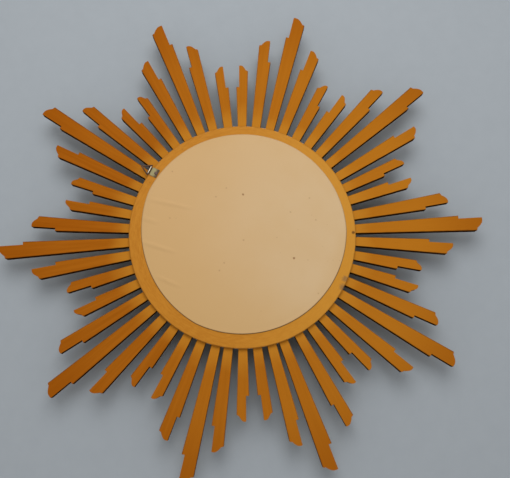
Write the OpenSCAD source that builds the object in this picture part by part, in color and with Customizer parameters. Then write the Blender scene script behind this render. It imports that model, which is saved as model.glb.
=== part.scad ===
// Sunburst wall clock with fifty stepped rays, a hinged glazed bezel and a wound movement.
// Frame: +Z up, dial facing -Y, wall side facing +Y, origin on the paper cover's outer face.
// Every piece is drawn lying flat (x to the right of the dial, y to twelve o'clock,
// z towards the front) and is then stood up by stand().

/* [Rays] */
// Radius of the long ray tips
long_tip_r = 326; // [310:1:340]
// Radius of the medium ray tips
medium_tip_r = 284; // [270:1:300]
// Radius of the short ray tips
short_tip_r = 244; // [230:1:260]
// Thickness of a ray
ray_t = 11; // [8:0.5:12]
// Width of a ray at the edge of the back ring
ray_root_w = 12; // [9:0.5:14]
// Width that a ray gains per millimetre outwards
ray_flare = 0.062; // [0.04:0.002:0.07]
// Length of the step cut into the end of a ray
notch_len = 32; // [20:1:40]
// Depth of that step across the ray
notch_depth = 4; // [2:0.5:6]
// How far one corner of a tip stands beyond the other
tip_slant = 8.5; // [4:0.5:14]
// How far the rounded end of a tip bulges
tip_bulge = 3.2; // [1:0.2:4]
// Width of the small corner left beside the rounded end
tip_ear_w = 2.6; // [2:0.2:4]
// Depth of the nick between that corner and the rounded end
tip_nick = 0.9; // [0.4:0.1:1.4]
// Depth of the groove along the front of a ray
groove_depth = 1.2; // [0.6:0.2:2]
// Angle from twelve o'clock to the nearest long ray
ray_phase = 3.4; // [0:0.2:7]

/* [Wooden rings] */
// Outer radius of the back ring
ring_r = 152; // [148:1:158]
// Bore radius of the back ring
ring_bore_r = 118; // [115:1:118]
// Thickness of the back ring
ring_t = 6; // [5:0.5:9]
// Chamfer on the back ring's outer edge
ring_chamfer = 0.8; // [0.4:0.1:1.5]
// Outer radius of the hub ring that the ray roots butt against
hub_r = 126; // [126:1:132]
// Bore radius of the hub ring
hub_bore_r = 112; // [106:1:116]
// Outer radius of the turned front ring
front_ring_r = 150; // [144:1:154]
// Height of the front ring's outer rim
rim_h = 3.5; // [2.5:0.5:4]
// Rounding of the rim's edge
rim_round = 2; // [1:0.5:2.4]
// Radius of the hollow between rim and bead
cove_r = 5.5; // [4:0.5:6]
// Radius of the bead
bead_r = 7; // [6:0.5:8]
// How far the bead stands above the land
bead_proud = 1; // [0.5:0.1:1.5]
// Height of the land that the bezel closes on, above the rays
land_h = 15.6; // [15:0.2:18]
// Height of the dial's seat above the rays
dial_seat_h = 9.6; // [9:0.2:10.4]
// Width of the ledge under the dial's rim
ledge_w = 7; // [5:0.5:10]
// Shank radius of a ring screw
ring_screw_r = 1.6; // [1.2:0.1:1.8]
// Reach of a ring screw into the front ring
ring_screw_bite = 6; // [4:0.5:8]

/* [Paper cover] */
// Radius that the paper was first cut to
paper_r = 140; // [136:1:144]
// Thickness of the paper
paper_t = 0.4; // [0.2:0.1:0.8]
// Radius of the long trimming cut
trim_long_r = 148.8; // [145:0.2:152]
// How far the long cut's centre is off the axis
trim_long_off = 16; // [12:0.5:18]
// Radius of the short trimming cut
trim_short_r = 140.5; // [138:0.5:144]
// How far the short cut's centre is off the axis
trim_short_off = 7; // [4:0.5:9]

/* [Hanger] */
// Width of the hanger strap
strap_w = 12; // [11:0.5:16]
// Thickness of the strap
strap_t = 0.8; // [0.6:0.1:1.2]
// Gap from the paper's edge to the strap
strap_gap = 1.5; // [1.3:0.1:3]
// Distance from the strap's inner end to the loop's hinge bar
strap_len = 12.4; // [11.4:0.2:16]
// Angle that the strap has turned on its nail
hanger_lean = 9; // [0:1:10]
// Width of the curl around the hinge bar
curl_w = 10; // [8:0.5:10]
// Radius of the loop's wire
wire_r = 0.9; // [0.7:0.05:1.0]
// Half the length of the loop's hinge bar
loop_half_w = 7.2; // [7.2:0.1:9]
// Height of the loop's triangle
loop_h = 12.3; // [11:0.1:16]
// Radius of the nail's head
nail_head_r = 2.2; // [1.6:0.1:3]
// Radius of the nail's shank
nail_r = 0.9; // [0.7:0.1:1.2]

/* [Dial and hands] */
// How far the dial reaches beyond the glass
dial_margin = 1.5; // [0.5:0.5:3]
// Thickness of the dial
dial_t = 1.2; // [0.8:0.1:1.6]
// Outer radius of the hour batons
baton_out_r = 84; // [78:1:88]
// Length of an hour baton
baton_len = 16; // [10:1:22]
// Width of an hour baton
baton_w = 3; // [2:0.2:4]
// Width of a quarter-hour baton
quarter_w = 4.6; // [3:0.2:6]
// Height of a baton
baton_t = 0.8; // [0.4:0.1:1.2]
// Reach of the minute hand
minute_len = 82; // [74:1:88]
// Reach of the hour hand
hour_len = 56; // [45:1:64]
// Widest part of a hand
hand_w = 6; // [4:0.5:8]
// Radius of the minute hand's hub
minute_hub_r = 5; // [4.5:0.1:6]
// Radius of the hour hand's hub
hour_hub_r = 6.4; // [6:0.1:8]
// Thickness of a hand
hand_t = 0.7; // [0.5:0.1:1.0]
// Gap from the dial to the hour hand, and between the hands
hand_gap = 1.6; // [1.4:0.1:1.9]
// Minutes past ten that the hands show
shown_minutes = 10; // [0:1:59]

/* [Bezel and glass] */
// Width of the bezel outside the glass seat
bezel_w = 12; // [10:0.5:14]
// Height of the bezel above the land
bezel_h = 7; // [6.6:0.2:9]
// Rounding of the bezel's front edge
bezel_round = 4; // [2:0.5:5]
// How far the bezel's lip covers the glass
lip_w = 3.4; // [2.5:0.1:4.5]
// Thickness of the glass
glass_t = 2; // [1.5:0.1:2.4]
// Rise of the domed glass
glass_rise = 7; // [5:0.5:10]
// Radius of the glass
glass_r = 99.5; // [98:0.5:101]
// Height of the ring that holds the glass in
retainer_h = 1; // [0.6:0.1:1.2]
// Radius of a hinge knuckle
knuckle_r = 2.2; // [1.8:0.1:2.6]
// Length of the bezel's knuckle
knuckle_len = 8; // [6:0.5:10]
// Length of each knuckle on the leaf
leaf_knuckle_len = 7; // [5:0.5:9]
// Width of the hinge leaf
leaf_w = 10; // [9:0.5:12]
// Thickness of the hinge leaf
leaf_t = 1.2; // [0.8:0.1:1.6]
// Radius of the hinge pin
hinge_pin_r = 0.9; // [0.7:0.1:1.2]

/* [Movement frame] */
// Radius of the movement plates
plate_r = 45; // [44:0.5:50]
// Thickness of the movement plates
plate_t = 1.5; // [1.2:0.1:1.8]
// Distance between the plates
plate_gap = 12.1; // [11.9:0.1:12.6]
// Height of the posts between front plate and dial
post_h = 4.9; // [4.7:0.1:5.3]
// Radius of a dial post and of a plate pillar
post_r = 2.6; // [2.2:0.1:3]
// Radius of a pillar's threaded end
pillar_end_r = 1.5; // [1.2:0.1:1.8]
// Height of a pillar nut
nut_h = 1.6; // [1.2:0.1:1.8]
// Shank radius of the dial and hinge screws
screw_r = 1; // [0.8:0.1:1.2]
// Head radius of the dial and hinge screws
screw_head_r = 1.9; // [1.6:0.1:2.4]

/* [Movement wheels] */
// Tooth module of the barrel and centre pinion
barrel_module = 0.55; // [0.54:0.005:0.57]
// Tooth module of the centre wheel and third pinion
centre_module = 0.5; // [0.49:0.005:0.52]
// Tooth module of the third wheel and fourth pinion
third_module = 0.42; // [0.41:0.005:0.43]
// Tooth module of the fourth wheel and escape pinion
fourth_module = 0.4; // [0.39:0.005:0.41]
// Tooth module of the cannon pinion and minute wheel
cannon_module = 0.75; // [0.74:0.005:0.77]
// Thickness of a train wheel
wheel_t = 0.9; // [0.7:0.05:1]
// Height of the mainspring barrel
barrel_h = 7.4; // [6.8:0.1:7.6]
// Wall of the mainspring barrel
barrel_wall = 0.9; // [0.7:0.1:1.2]
// Side of the winding square
square_w = 3.5; // [3:0.1:3.5]
// Bore radius of the winding-hole grommet
grommet_bore_r = 4.4; // [4:0.1:5]
// Wall of the grommet
grommet_wall = 0.8; // [0.5:0.1:1.2]
// Tip radius of the escape wheel
escape_r = 7; // [6.6:0.1:7.2]
// Outer radius of the balance wheel
balance_r = 9.5; // [8:0.1:9.8]
// Distance from escape wheel to pallet lever
lever_dist = 9.6; // [9.4:0.1:10]
// Distance from pallet lever to balance
balance_dist = 12; // [11.8:0.1:12.4]

/* [Fits] */
// Radial clearance of a pivot, shaft or pin that turns
pivot_gap = 0.05; // [0.02:0.01:0.08]
// Clearance between pieces that pass each other
pass_gap = 0.3; // [0.2:0.05:0.4]

/* [Hidden] */
$fn = 96;

// Counts
clusters = 10;
rays_per_cluster = 5;
ring_screws_count = 8;
hours = 12;

// Shared by all pieces: direction of twelve o'clock and overshoot of a cutting body
twelve = 90;
cut = 1;

// Heights of the layers, from the wall side to the front
rays_back = paper_t + ring_t;
rays_front = rays_back + ray_t;
land_z = rays_front + land_h;
dial_back = rays_front + dial_seat_h;
dial_front = dial_back + dial_t;
front_plate_front = dial_back - post_h;
front_plate_back = front_plate_front - plate_t;
back_plate_front = front_plate_back - plate_gap;
back_plate_back = back_plate_front - plate_t;

// Rays
ray_pitch = 360 / (clusters * rays_per_cluster);
ray_tips = [long_tip_r, medium_tip_r, short_tip_r, short_tip_r, medium_tip_r];
ray_sides = [1, -1, 1, -1, 1];
// Rays set out of the even spacing, as [place clockwise from twelve o'clock, degrees]
ray_leans = [[0, 0.6], [1, 0.4], [6, 0.6], [7, 0.5], [13, -0.6], [14, -0.7], [15, -1], [20, 1.1],
    [25, -0.7], [26, -0.6], [27, -0.5], [30, 0.7], [31, 0.9], [33, 0.4], [34, 0.8], [39, -0.4],
    [44, -0.7]];
tip_steps = 6;
root_gap = 0.2;
seat_gap = 0.2;
groove_side = groove_depth * sqrt(2);
big_fn = 180;

// Front ring and dial seat
dial_r = glass_r + dial_margin;
ledge_r = dial_r - ledge_w;
recess_r = dial_r + pass_gap;
bezel_r = glass_r + pass_gap + bezel_w;
bead_edge_gap = 2;
bead_centre_r = bezel_r + bead_edge_gap + bead_r;
bead_centre_z = land_z + bead_proud - bead_r;
cove_centre_r = bead_centre_r + bead_r + cove_r;
cove_centre_z = rays_front + rim_h + cove_r;

// Paper trimming cuts, as angles seen from the dial side
trim_long_angle = 199.6;
trim_short_angle = 139.6;

// Hanger
strap_in_r = paper_r + strap_gap;
bar_y = strap_in_r + strap_len;
curl_r = wire_r + pivot_gap + strap_t;
bend_swell = 0.05;
bend_r = wire_r + bend_swell;
bar_z = paper_t - curl_r;
strap_neck = 2.5;
nail_inset = 1;
nail_y = strap_in_r + nail_head_r + nail_inset;
nail_head_h = 0.7;
nail_crown = 0.5;
nail_short = 1;
nail_bite = ring_t - nail_short;

// Ring screws
ring_screw_circle_r = (ring_bore_r + hub_r) / 2;
screw_cone = 2;
ring_screw_head_r = ring_screw_r + screw_cone;
ring_screw_angle = 22.5;

// Bezel and hinge
bezel_back = land_z + seat_gap;
retainer_lift = 0.5;
retainer_z = land_z + retainer_lift;
glass_z = retainer_z + retainer_h;
glass_play = 0.8;
lip_z = glass_z + glass_t + glass_play;
rebate_r = glass_r + pass_gap;
sight_r = rebate_r - lip_w;
lip_edge_h = 0.8;
dome_r = (glass_r * glass_r + glass_rise * glass_rise) / (2 * glass_rise);
dome_fn = 720;
hinge_gap = 0.4;
hinge_x = -(bezel_r + knuckle_r + hinge_gap);
hinge_z = land_z + leaf_t + knuckle_r + hinge_gap;
leaf_half_len = knuckle_len / 2 + pass_gap + leaf_knuckle_len;
leaf_edge = 1;
leaf_in_x = hinge_x + leaf_edge;
leaf_screw_x = hinge_x - knuckle_r - screw_head_r - leaf_edge;
leaf_screw_y = leaf_half_len - screw_head_r - leaf_edge;
leaf_cut_run = 2;
leaf_cut_w = leaf_w + 2 * pass_gap + leaf_cut_run;
screw_head_h = 0.9;
screw_crown = 0.6;
screw_bite = 4.2;
bezel_weld = 3;
web_h = 2;
tab_reach = 5;
tab_w = 12;
tab_t = 1.6;
tab_lift = 1;

// Train: tooth counts, places seen from the dial side and levels above the back plate
pinion_teeth = 8;
barrel_teeth = 72;
centre_teeth = 64;
third_teeth = 64;
fourth_teeth = 60;
escape_teeth = 15;
cannon_teeth = 12;
minute_teeth = 36;
minute_pinion_teeth = 10;
hour_teeth = 40;
ratchet_teeth = 24;

barrel_angle = -90;
third_angle = 60;
fourth_angle = 150;
escape_angle = 180;
lever_angle = 240;
balance_angle = 260;
minute_angle = 0;
click_angle = 165;

minute_dist = centre_dist(cannon_module, cannon_teeth, minute_teeth);
hour_module = 2 * minute_dist / (minute_pinion_teeth + hour_teeth);
barrel_at = polar(centre_dist(barrel_module, barrel_teeth, pinion_teeth), barrel_angle);
third_at = polar(centre_dist(centre_module, centre_teeth, pinion_teeth), third_angle);
fourth_at = third_at + polar(centre_dist(third_module, third_teeth, pinion_teeth), fourth_angle);
escape_at = fourth_at + polar(centre_dist(fourth_module, fourth_teeth, pinion_teeth), escape_angle);
lever_at = escape_at + polar(lever_dist, lever_angle);
balance_at = lever_at + polar(balance_dist, balance_angle);
minute_at = polar(minute_dist, minute_angle);

end_play = 0.2;
barrel_lift = 1;
barrel_z = back_plate_front + barrel_lift;
barrel_floor_t = 1.2;
barrel_cover_t = 0.7;
barrel_tooth_band = 1;
barrel_r = barrel_module * barrel_teeth / 2 - barrel_tooth_band;
barrel_inner_r = barrel_r - barrel_wall;
barrel_top = barrel_z + barrel_h;
pinion_over = 0.4;
pinion_h = wheel_t + 2 * pinion_over;
centre_pinion_lift = 0.7;
centre_pinion_z = back_plate_front + centre_pinion_lift;
centre_pinion_h = barrel_floor_t + 2 * pinion_over;
centre_wheel_lift = 9.1;
centre_wheel_z = back_plate_front + centre_wheel_lift;
third_pinion_z = centre_wheel_z - pinion_over;
third_wheel_lift = 1.5;
third_wheel_z = back_plate_front + third_wheel_lift;
fourth_pinion_z = third_wheel_z - pinion_over;
fourth_wheel_lift = 5.5;
fourth_wheel_z = back_plate_front + fourth_wheel_lift;
escape_pinion_z = fourth_wheel_z - pinion_over;
escape_wheel_lift = 1.9;
escape_wheel_z = back_plate_front + escape_wheel_lift;
escape_wheel_t = 0.8;
escape_tooth = 1.8;
escape_root_r = escape_r - escape_tooth;
escape_rim = 0.9;
lever_lift = 3.4;
lever_z = back_plate_front + lever_lift;
lever_t = 0.8;
roller_z = lever_z + lever_t + pass_gap;
roller_t = 0.6;
balance_lift = 5.5;
balance_z = back_plate_front + balance_lift;
balance_t = 1.2;
hairspring_lift = 7.6;
hairspring_z = back_plate_front + hairspring_lift;
hairspring_t = 0.8;
hairspring_r = 6;
hairspring_turns = 5;
mainspring_turns = 8;
wheel_rim = 1.2;
wheel_arm = 1.4;

barrel_pivot_r = 1.5;
barrel_arbor_r = 2.5;
barrel_hub_r = 5;
centre_pivot_r = 0.8;
centre_arbor_r = 1.2;
third_arbor_r = 1;
third_pivot_r = 0.5;
fourth_arbor_r = 0.9;
fourth_pivot_r = 0.45;
escape_arbor_r = 0.8;
escape_pivot_r = 0.4;
lever_arbor_r = 0.8;
lever_pivot_r = 0.4;
staff_r = 0.8;
staff_pivot_r = 0.35;

// Pallet lever and balance
pallet_pin_r = 0.35;
pallet_spread = 36;
pallet_clear = 0.65;
pallet_r = escape_r + pallet_pin_r + pallet_clear;
pallet_x = lever_dist - pallet_r * cos(pallet_spread);
pallet_y = pallet_r * sin(pallet_spread);
pallet_arm_len = norm([pallet_x, pallet_y]);
pallet_arm_angle = atan2(pallet_y, pallet_x);
lever_arm_w = 1.2;
pallet_boss = 0.15;
lever_hub_r = 1.6;
impulse_pin_r = 0.4;
impulse_r = 2.4;
roller_r = 3;
fork_gap = 0.6;
fork_len = balance_dist - impulse_r - impulse_pin_r - fork_gap;
fork_head = 2;
fork_w = 2.4;
fork_slot = 1;
fork_slot_depth = 1.2;
balance_rim = 1.5;

// Winding work on the front plate
ratchet_z = front_plate_front + pass_gap;
ratchet_t = 1.2;
ratchet_r = 8.5;
ratchet_tooth = 1.4;
click_pivot_r = 1.1;
ratchet_back = 0.85;
click_reach = 5;
click_at = barrel_at + polar(ratchet_r + click_reach, click_angle);
click_nose_angle = 115;
click_nose_gap = 0.2;
click_nose = barrel_at + polar(ratchet_r + pass_gap + click_nose_gap, click_nose_angle);
click_half_w = 1.6;
click_boss = 0.6;
click_head_r = 2.1;
click_head_h = 0.8;
click_crown = 0.4;
click_line = (click_nose - click_at) / norm(click_nose - click_at);
click_out = [-click_line[1], click_line[0]];
spring_out = 7;
spring_behind = 3;
spring_anchor = click_at + spring_out * click_out - spring_behind * click_line;
spring_t = 0.5;
spring_foot_r = 1.6;
spring_short = 2;
spring_tip = click_nose + (click_half_w + pass_gap) * click_out - spring_short * click_line;

// Motion work and hands
motion_lift = 0.7;
motion_z = front_plate_front + motion_lift;
motion_t = 1;
cannon_r = 2.2;
pipe_r = 3.2;
stud_r = 1.2;
stud_end = 0.4;
hour_wheel_lift = 1.2;
hour_wheel_z = motion_z + motion_t + hour_wheel_lift;
hour_wheel_t = 0.8;
hour_hand_z = dial_front + hand_gap;
square_top = hour_hand_z - 2 * pass_gap;
minute_hand_z = hour_hand_z + hand_t + hand_gap;
nut_z = minute_hand_z + hand_t;
hand_nut_h = 2;
hand_nut_r = 3.4;
hand_nut_taper = 0.8;
minute_step = 6;
hour_step = 30;
shown_hour = 10;
minute_hand_angle = twelve - shown_minutes * minute_step;
hour_hand_angle = twelve - (shown_hour + shown_minutes / 60) * hour_step;
dial_hole_r = pipe_r + pass_gap;
grommet_r = grommet_bore_r + grommet_wall;
grommet_flange = 1.2;
grommet_flange_t = 0.6;
grommet_tail = 0.3;
grommet_h = dial_t + grommet_tail;

// Places of the pillars, posts and screws
pillar_inset = 2.4;
pillar_circle_r = plate_r - post_r - pillar_inset;
pillar_angles = [30, 110, 200, 330];
post_inset = 6.4;
post_circle_r = plate_r - post_r - post_inset;
post_angles = [60, 150, 225, 315];
rim_screw_r = dial_r - ledge_w / 2;
rim_screw_angles = [45, 135, 225, 315];

// Tooth forms: share of the pitch, addendum, dedendum and relative widths at root and tip
wheel_tooth = [0.42, 0.95, 1.25, 1.12, 0.45];
leaf_tooth = [0.36, 0.7, 1.4, 1, 0.5];

// Point at a radius and an angle
function polar(r, a) = [r * cos(a), r * sin(a)];

// Distance between the axes of a meshing pair
function centre_dist(size, teeth_a, teeth_b) = size * (teeth_a + teeth_b) / 2;

// Half the width of a ray at a radius
function ray_half_w(r) = (ray_root_w + ray_flare * (r - ring_r)) / 2;

// Outline of a gear, from the tooth form's six corners per tooth
function gear_points(teeth, size, form) = [
    for (i = [0 : teeth - 1])
    for (p = [[-form[3], -form[2]], [-1, 0], [-form[4], form[1]],
            [form[4], form[1]], [1, 0], [form[3], -form[2]]])
    polar(size * (teeth / 2 + p[1]), (i + p[0] * form[0] / 2) * 360 / teeth)];

// Outline of a flat spiral strip that grows outwards
function spiral_points(r_in, r_out, turns, width, steps = 24) = concat(
    [for (i = [0 : turns * steps])
        polar(r_in + width + (r_out - r_in) * i / (turns * steps), i * 360 / steps)],
    [for (i = [turns * steps : -1 : 0])
        polar(r_in + (r_out - r_in) * i / (turns * steps), i * 360 / steps)]);

// Stands a flat-drawn piece up, with its front towards -Y
module stand() {
    rotate([90, 0, 0])
        children();
}

// Places a flat-drawn piece at a point and height
module at(place, z) {
    translate([place[0], place[1], z])
        children();
}

// Disc with a bore
module washer(outer, inner, z, h) {
    translate([0, 0, z])
        linear_extrude(h)
            difference() {
                circle(outer);
                circle(inner);
            }
}

// Openings between the arms of a wheel
module wheel_windows(rim, hub, arms, arm_w) {
    difference() {
        circle(rim);
        circle(hub);
        for (i = [0 : arms - 1])
            rotate(i * 360 / arms)
                translate([0, -arm_w / 2])
                    square([rim + cut, arm_w]);
    }
}

// Toothed wheel with arms
module crossed_wheel(teeth, size, bore, thick, hub, arms) {
    rim = size * (teeth / 2 - wheel_tooth[2]) - wheel_rim;
    linear_extrude(thick)
        difference() {
            polygon(gear_points(teeth, size, wheel_tooth));
            circle(bore);
            wheel_windows(rim, hub, arms, wheel_arm);
        }
}

// Pinion leaves of a height
module leaves(teeth, size, h) {
    linear_extrude(h)
        polygon(gear_points(teeth, size, leaf_tooth));
}

// Plain arbor that runs from plate to plate on thinner pivots
module plain_arbor(shaft, pivot) {
    translate([0, 0, back_plate_back])
        cylinder(r = pivot, h = front_plate_front - back_plate_back);
    translate([0, 0, back_plate_front + end_play])
        cylinder(r = shaft, h = plate_gap - 2 * end_play);
}

// Screw with a rounded head, its seat at z = 0
module round_head_screw() {
    translate([0, 0, -screw_bite])
        cylinder(r = screw_r, h = screw_bite);
    cylinder(r1 = screw_head_r, r2 = screw_head_r - screw_crown, h = screw_head_h);
}

// One ray along +x, with its step on the side given by the sign
module ray(tip_r, side) {
    notch_r = tip_r - notch_len;
    low_r = tip_r - tip_slant;
    root_x = hub_r + root_gap;
    step_y = ray_half_w(notch_r) - notch_depth;
    low_y = -ray_half_w(low_r);
    end_w = step_y - low_y;
    ear = tip_ear_w / end_w;
    ear_points = [[low_r, low_y], [low_r + ear * tip_slant, low_y + tip_ear_w]];
    end_points = [for (i = [0 : tip_steps]) let (s = i / tip_steps, t = ear + s * (1 - ear))
        [low_r + t * tip_slant - tip_nick * (1 - s) + tip_bulge * sin(180 * s), low_y + t * end_w]];
    step_points = [[notch_r, step_y], [notch_r, ray_half_w(notch_r)]];
    root_points = [[root_x, ray_half_w(root_x)], [root_x, -ray_half_w(root_x)]];
    difference() {
        translate([0, 0, rays_back])
            linear_extrude(ray_t)
                scale([1, side])
                    polygon(concat(ear_points, end_points, step_points, root_points));
        translate([front_ring_r, 0, rays_front])
            rotate([45, 0, 0])
                translate([0, -groove_side / 2, -groove_side / 2])
                    cube([tip_r, groove_side, groove_side]);
    }
}

// Degrees that the ray at a place leans out of the even spacing
function ray_lean(place) =
    let (leans = [for (lean = ray_leans) if (lean[0] == place) lean[1]])
    len(leans) > 0 ? leans[0] : 0;

// Five neighbouring rays: long, medium, short, short, medium, clockwise on the dial side
module ray_cluster(index) {
    color("#b8701c")
        stand()
            for (k = [0 : rays_per_cluster - 1]) {
                flip = k == 0 && index % 2 == 1 ? -1 : 1;
                place = index * rays_per_cluster + k;
                rotate(twelve - ray_phase - place * ray_pitch + ray_lean(place))
                    ray(ray_tips[k], -flip * ray_sides[k]);
            }
}

// Countersunk screws through the three wooden rings, also used to cut their holes
module ring_screw_bodies() {
    for (i = [0 : ring_screws_count - 1])
        at(polar(ring_screw_circle_r, ring_screw_angle + i * 360 / ring_screws_count), paper_t) {
            cylinder(r = ring_screw_r, h = ring_t + ray_t + ring_screw_bite);
            cylinder(r1 = ring_screw_head_r, r2 = ring_screw_r, h = screw_cone);
        }
}

module back_ring() {
    color("#c8872a")
        stand()
            difference() {
                rotate_extrude($fn = big_fn)
                    polygon([[ring_bore_r, paper_t], [ring_r - ring_chamfer, paper_t],
                        [ring_r, paper_t + ring_chamfer], [ring_r, rays_back],
                        [ring_bore_r, rays_back]]);
                ring_screw_bodies();
                at([0, nail_y], paper_t)
                    cylinder(r = nail_r, h = nail_bite);
            }
}

module paper_cover() {
    color("#cdaa78")
        stand()
            linear_extrude(paper_t)
                intersection() {
                    circle(paper_r, $fn = big_fn);
                    translate(polar(trim_long_off, trim_long_angle))
                        circle(trim_long_r, $fn = big_fn);
                    translate(polar(trim_short_off, trim_short_angle))
                        circle(trim_short_r, $fn = big_fn);
                }
}

module hub_ring() {
    color("#9c6a33")
        stand()
            difference() {
                washer(hub_r, hub_bore_r, rays_back, ray_t);
                ring_screw_bodies();
            }
}

module front_ring() {
    color("#c8872a")
        stand()
            difference() {
                rotate_extrude($fn = big_fn)
                    front_ring_profile();
                ring_screw_bodies();
                for (a = rim_screw_angles)
                    at(polar(rim_screw_r, a), dial_front - screw_bite)
                        cylinder(r = screw_r, h = screw_bite);
                translate([leaf_in_x - leaf_cut_w + pass_gap, -leaf_half_len - pass_gap, land_z])
                    cube([leaf_cut_w, 2 * (leaf_half_len + pass_gap), bead_r]);
                for (side = [-1, 1])
                    at([leaf_screw_x, side * leaf_screw_y], land_z + leaf_t - screw_bite)
                        cylinder(r = screw_r, h = screw_bite);
            }
}

// Half section of the turned moulding: dial seat, land, bead, cove and rim
module front_ring_profile() {
    difference() {
        union() {
            translate([ledge_r, rays_front])
                square([bead_centre_r - ledge_r, land_h]);
            translate([bead_centre_r, bead_centre_z])
                circle(bead_r);
            translate([ledge_r, rays_front])
                square([bead_centre_r + bead_r - ledge_r, bead_centre_z - rays_front]);
            translate([ledge_r, rays_front])
                square([front_ring_r - rim_round - ledge_r, rim_h]);
            translate([ledge_r, rays_front])
                square([front_ring_r - ledge_r, rim_h - rim_round]);
            translate([front_ring_r - rim_round, rays_front + rim_h - rim_round])
                intersection() {
                    circle(rim_round);
                    square(rim_round);
                }
            difference() {
                translate([bead_centre_r, rays_front])
                    square([cove_centre_r - bead_centre_r, rim_h + cove_r]);
                translate([cove_centre_r, cove_centre_z])
                    circle(cove_r);
            }
        }
        translate([ledge_r - cut, dial_back])
            square([recess_r - ledge_r + cut, land_h]);
    }
}

module ring_screws() {
    color("#8d8f93")
        stand()
            ring_screw_bodies();
}

// Turns the strap and its loop about the nail
module lean_hanger() {
    translate([0, nail_y, 0])
        rotate(-hanger_lean)
            translate([0, -nail_y, 0])
                children();
}

module hanger_strap() {
    color("#9a9a84")
        stand()
            lean_hanger()
                difference() {
                    union() {
                        translate([-strap_w / 2, strap_in_r, paper_t - strap_t])
                            cube([strap_w, strap_len - strap_neck, strap_t]);
                        translate([-curl_w / 2, strap_in_r, paper_t - strap_t])
                            cube([curl_w, strap_len, strap_t]);
                        hinge_bar(curl_r, curl_w / 2);
                    }
                    hinge_bar(wire_r + pivot_gap, curl_w);
                    at([0, nail_y], -strap_t)
                        cylinder(r = nail_r, h = 2 * strap_t);
                }
}

// Round bar on the hanger loop's hinge axis
module hinge_bar(r, half_len) {
    translate([-half_len, bar_y, bar_z])
        rotate([0, 90, 0])
            cylinder(r = r, h = 2 * half_len);
}

module hanger_loop() {
    arm_len = norm([loop_half_w, loop_h]);
    arm_angle = atan2(loop_h, loop_half_w);
    color("#b9bab6")
        stand()
            lean_hanger() {
                hinge_bar(wire_r, loop_half_w);
                for (side = [0, 1])
                    mirror([side, 0, 0])
                        translate([loop_half_w, bar_y, bar_z]) {
                            sphere(bend_r);
                            rotate([0, 0, 180 - arm_angle])
                                rotate([0, 90, 0])
                                    cylinder(r = wire_r, h = arm_len);
                        }
                translate([0, bar_y + loop_h, bar_z])
                    sphere(bend_r);
            }
}

module hanger_nail() {
    color("#5c4a44")
        stand() {
            at([0, nail_y], paper_t - strap_t)
                cylinder(r = nail_r, h = strap_t + nail_bite);
            at([0, nail_y], paper_t - strap_t - nail_head_h)
                cylinder(r1 = nail_head_r - nail_crown, r2 = nail_head_r, h = nail_head_h);
        }
}

// Places of all dial screws
module at_dial_screws() {
    for (a = post_angles)
        at(polar(post_circle_r, a), dial_front)
            children();
    for (a = rim_screw_angles)
        at(polar(rim_screw_r, a), dial_front)
            children();
}

module dial_plate() {
    color("#efe6cf")
        stand()
            difference() {
                washer(dial_r, dial_hole_r, dial_back, dial_t);
                at(barrel_at, dial_back - cut)
                    cylinder(r = grommet_r, h = dial_t + 2 * cut);
                at_dial_screws()
                    translate([0, 0, -screw_bite])
                        cylinder(r = screw_r, h = 2 * screw_bite);
            }
}

module hour_batons() {
    color("#c9a24a")
        stand()
            for (i = [0 : hours - 1]) {
                w = i % 3 == 0 ? quarter_w : baton_w;
                rotate(i * 360 / hours)
                    translate([baton_out_r, 0, dial_front])
                        rotate([90, 0, -90])
                            linear_extrude(baton_len)
                                polygon([[-w / 2, 0], [w / 2, 0], [w / 4, baton_t], [-w / 4, baton_t]]);
            }
}

module dial_screws() {
    color("#b08d3e")
        stand()
            at_dial_screws()
                round_head_screw();
}

module winding_grommet() {
    color("#c9a24a")
        stand()
            at(barrel_at, dial_back - grommet_tail) {
                washer(grommet_r, grommet_bore_r, 0, grommet_h);
                washer(grommet_r + grommet_flange, grommet_bore_r, grommet_h, grommet_flange_t);
            }
}

// Half section of the bezel, with the rebate for the glass
module bezel_profile() {
    front_z = land_z + bezel_h;
    round_z = front_z - bezel_round;
    translate([rebate_r, bezel_back])
        square([bezel_w, round_z - bezel_back]);
    translate([rebate_r, bezel_back])
        square([bezel_w - bezel_round, front_z - bezel_back]);
    translate([bezel_r - bezel_round, round_z])
        intersection() {
            circle(bezel_round);
            square(bezel_round);
        }
    polygon([[sight_r, lip_z], [sight_r, lip_z + lip_edge_h], [rebate_r, front_z],
        [rebate_r + cut, front_z], [rebate_r + cut, lip_z]]);
}

// Round bar on the bezel's hinge axis
module knuckle(r, from_y, len) {
    translate([hinge_x, from_y, hinge_z])
        rotate([-90, 0, 0])
            cylinder(r = r, h = len);
}

module bezel() {
    color("#c9a24a")
        stand()
            difference() {
                union() {
                    rotate_extrude($fn = big_fn)
                        bezel_profile();
                    knuckle(knuckle_r, -knuckle_len / 2, knuckle_len);
                    translate([hinge_x, -knuckle_len / 2, hinge_z - web_h / 2])
                        cube([-bezel_r + bezel_weld - hinge_x, knuckle_len, web_h]);
                    translate([bezel_r - bezel_weld, -tab_w / 2, land_z + bead_proud + tab_lift])
                        cube([tab_reach + bezel_weld, tab_w, tab_t]);
                }
                knuckle(hinge_pin_r + pivot_gap, -knuckle_len, 2 * knuckle_len);
            }
}

module glass() {
    dome_z = glass_z + glass_rise - dome_r;
    color("#dfeaea", 0.4)
        stand()
            rotate_extrude($fn = big_fn)
                intersection() {
                    difference() {
                        translate([0, dome_z + glass_t])
                            circle(dome_r, $fn = dome_fn);
                        translate([0, dome_z])
                            circle(dome_r, $fn = dome_fn);
                    }
                    translate([0, glass_z - cut])
                        square([glass_r, glass_rise + glass_t + 2 * cut]);
                }
}

module glass_retainer() {
    color("#b08d3e")
        stand()
            washer(rebate_r, sight_r, retainer_z, retainer_h);
}

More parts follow.
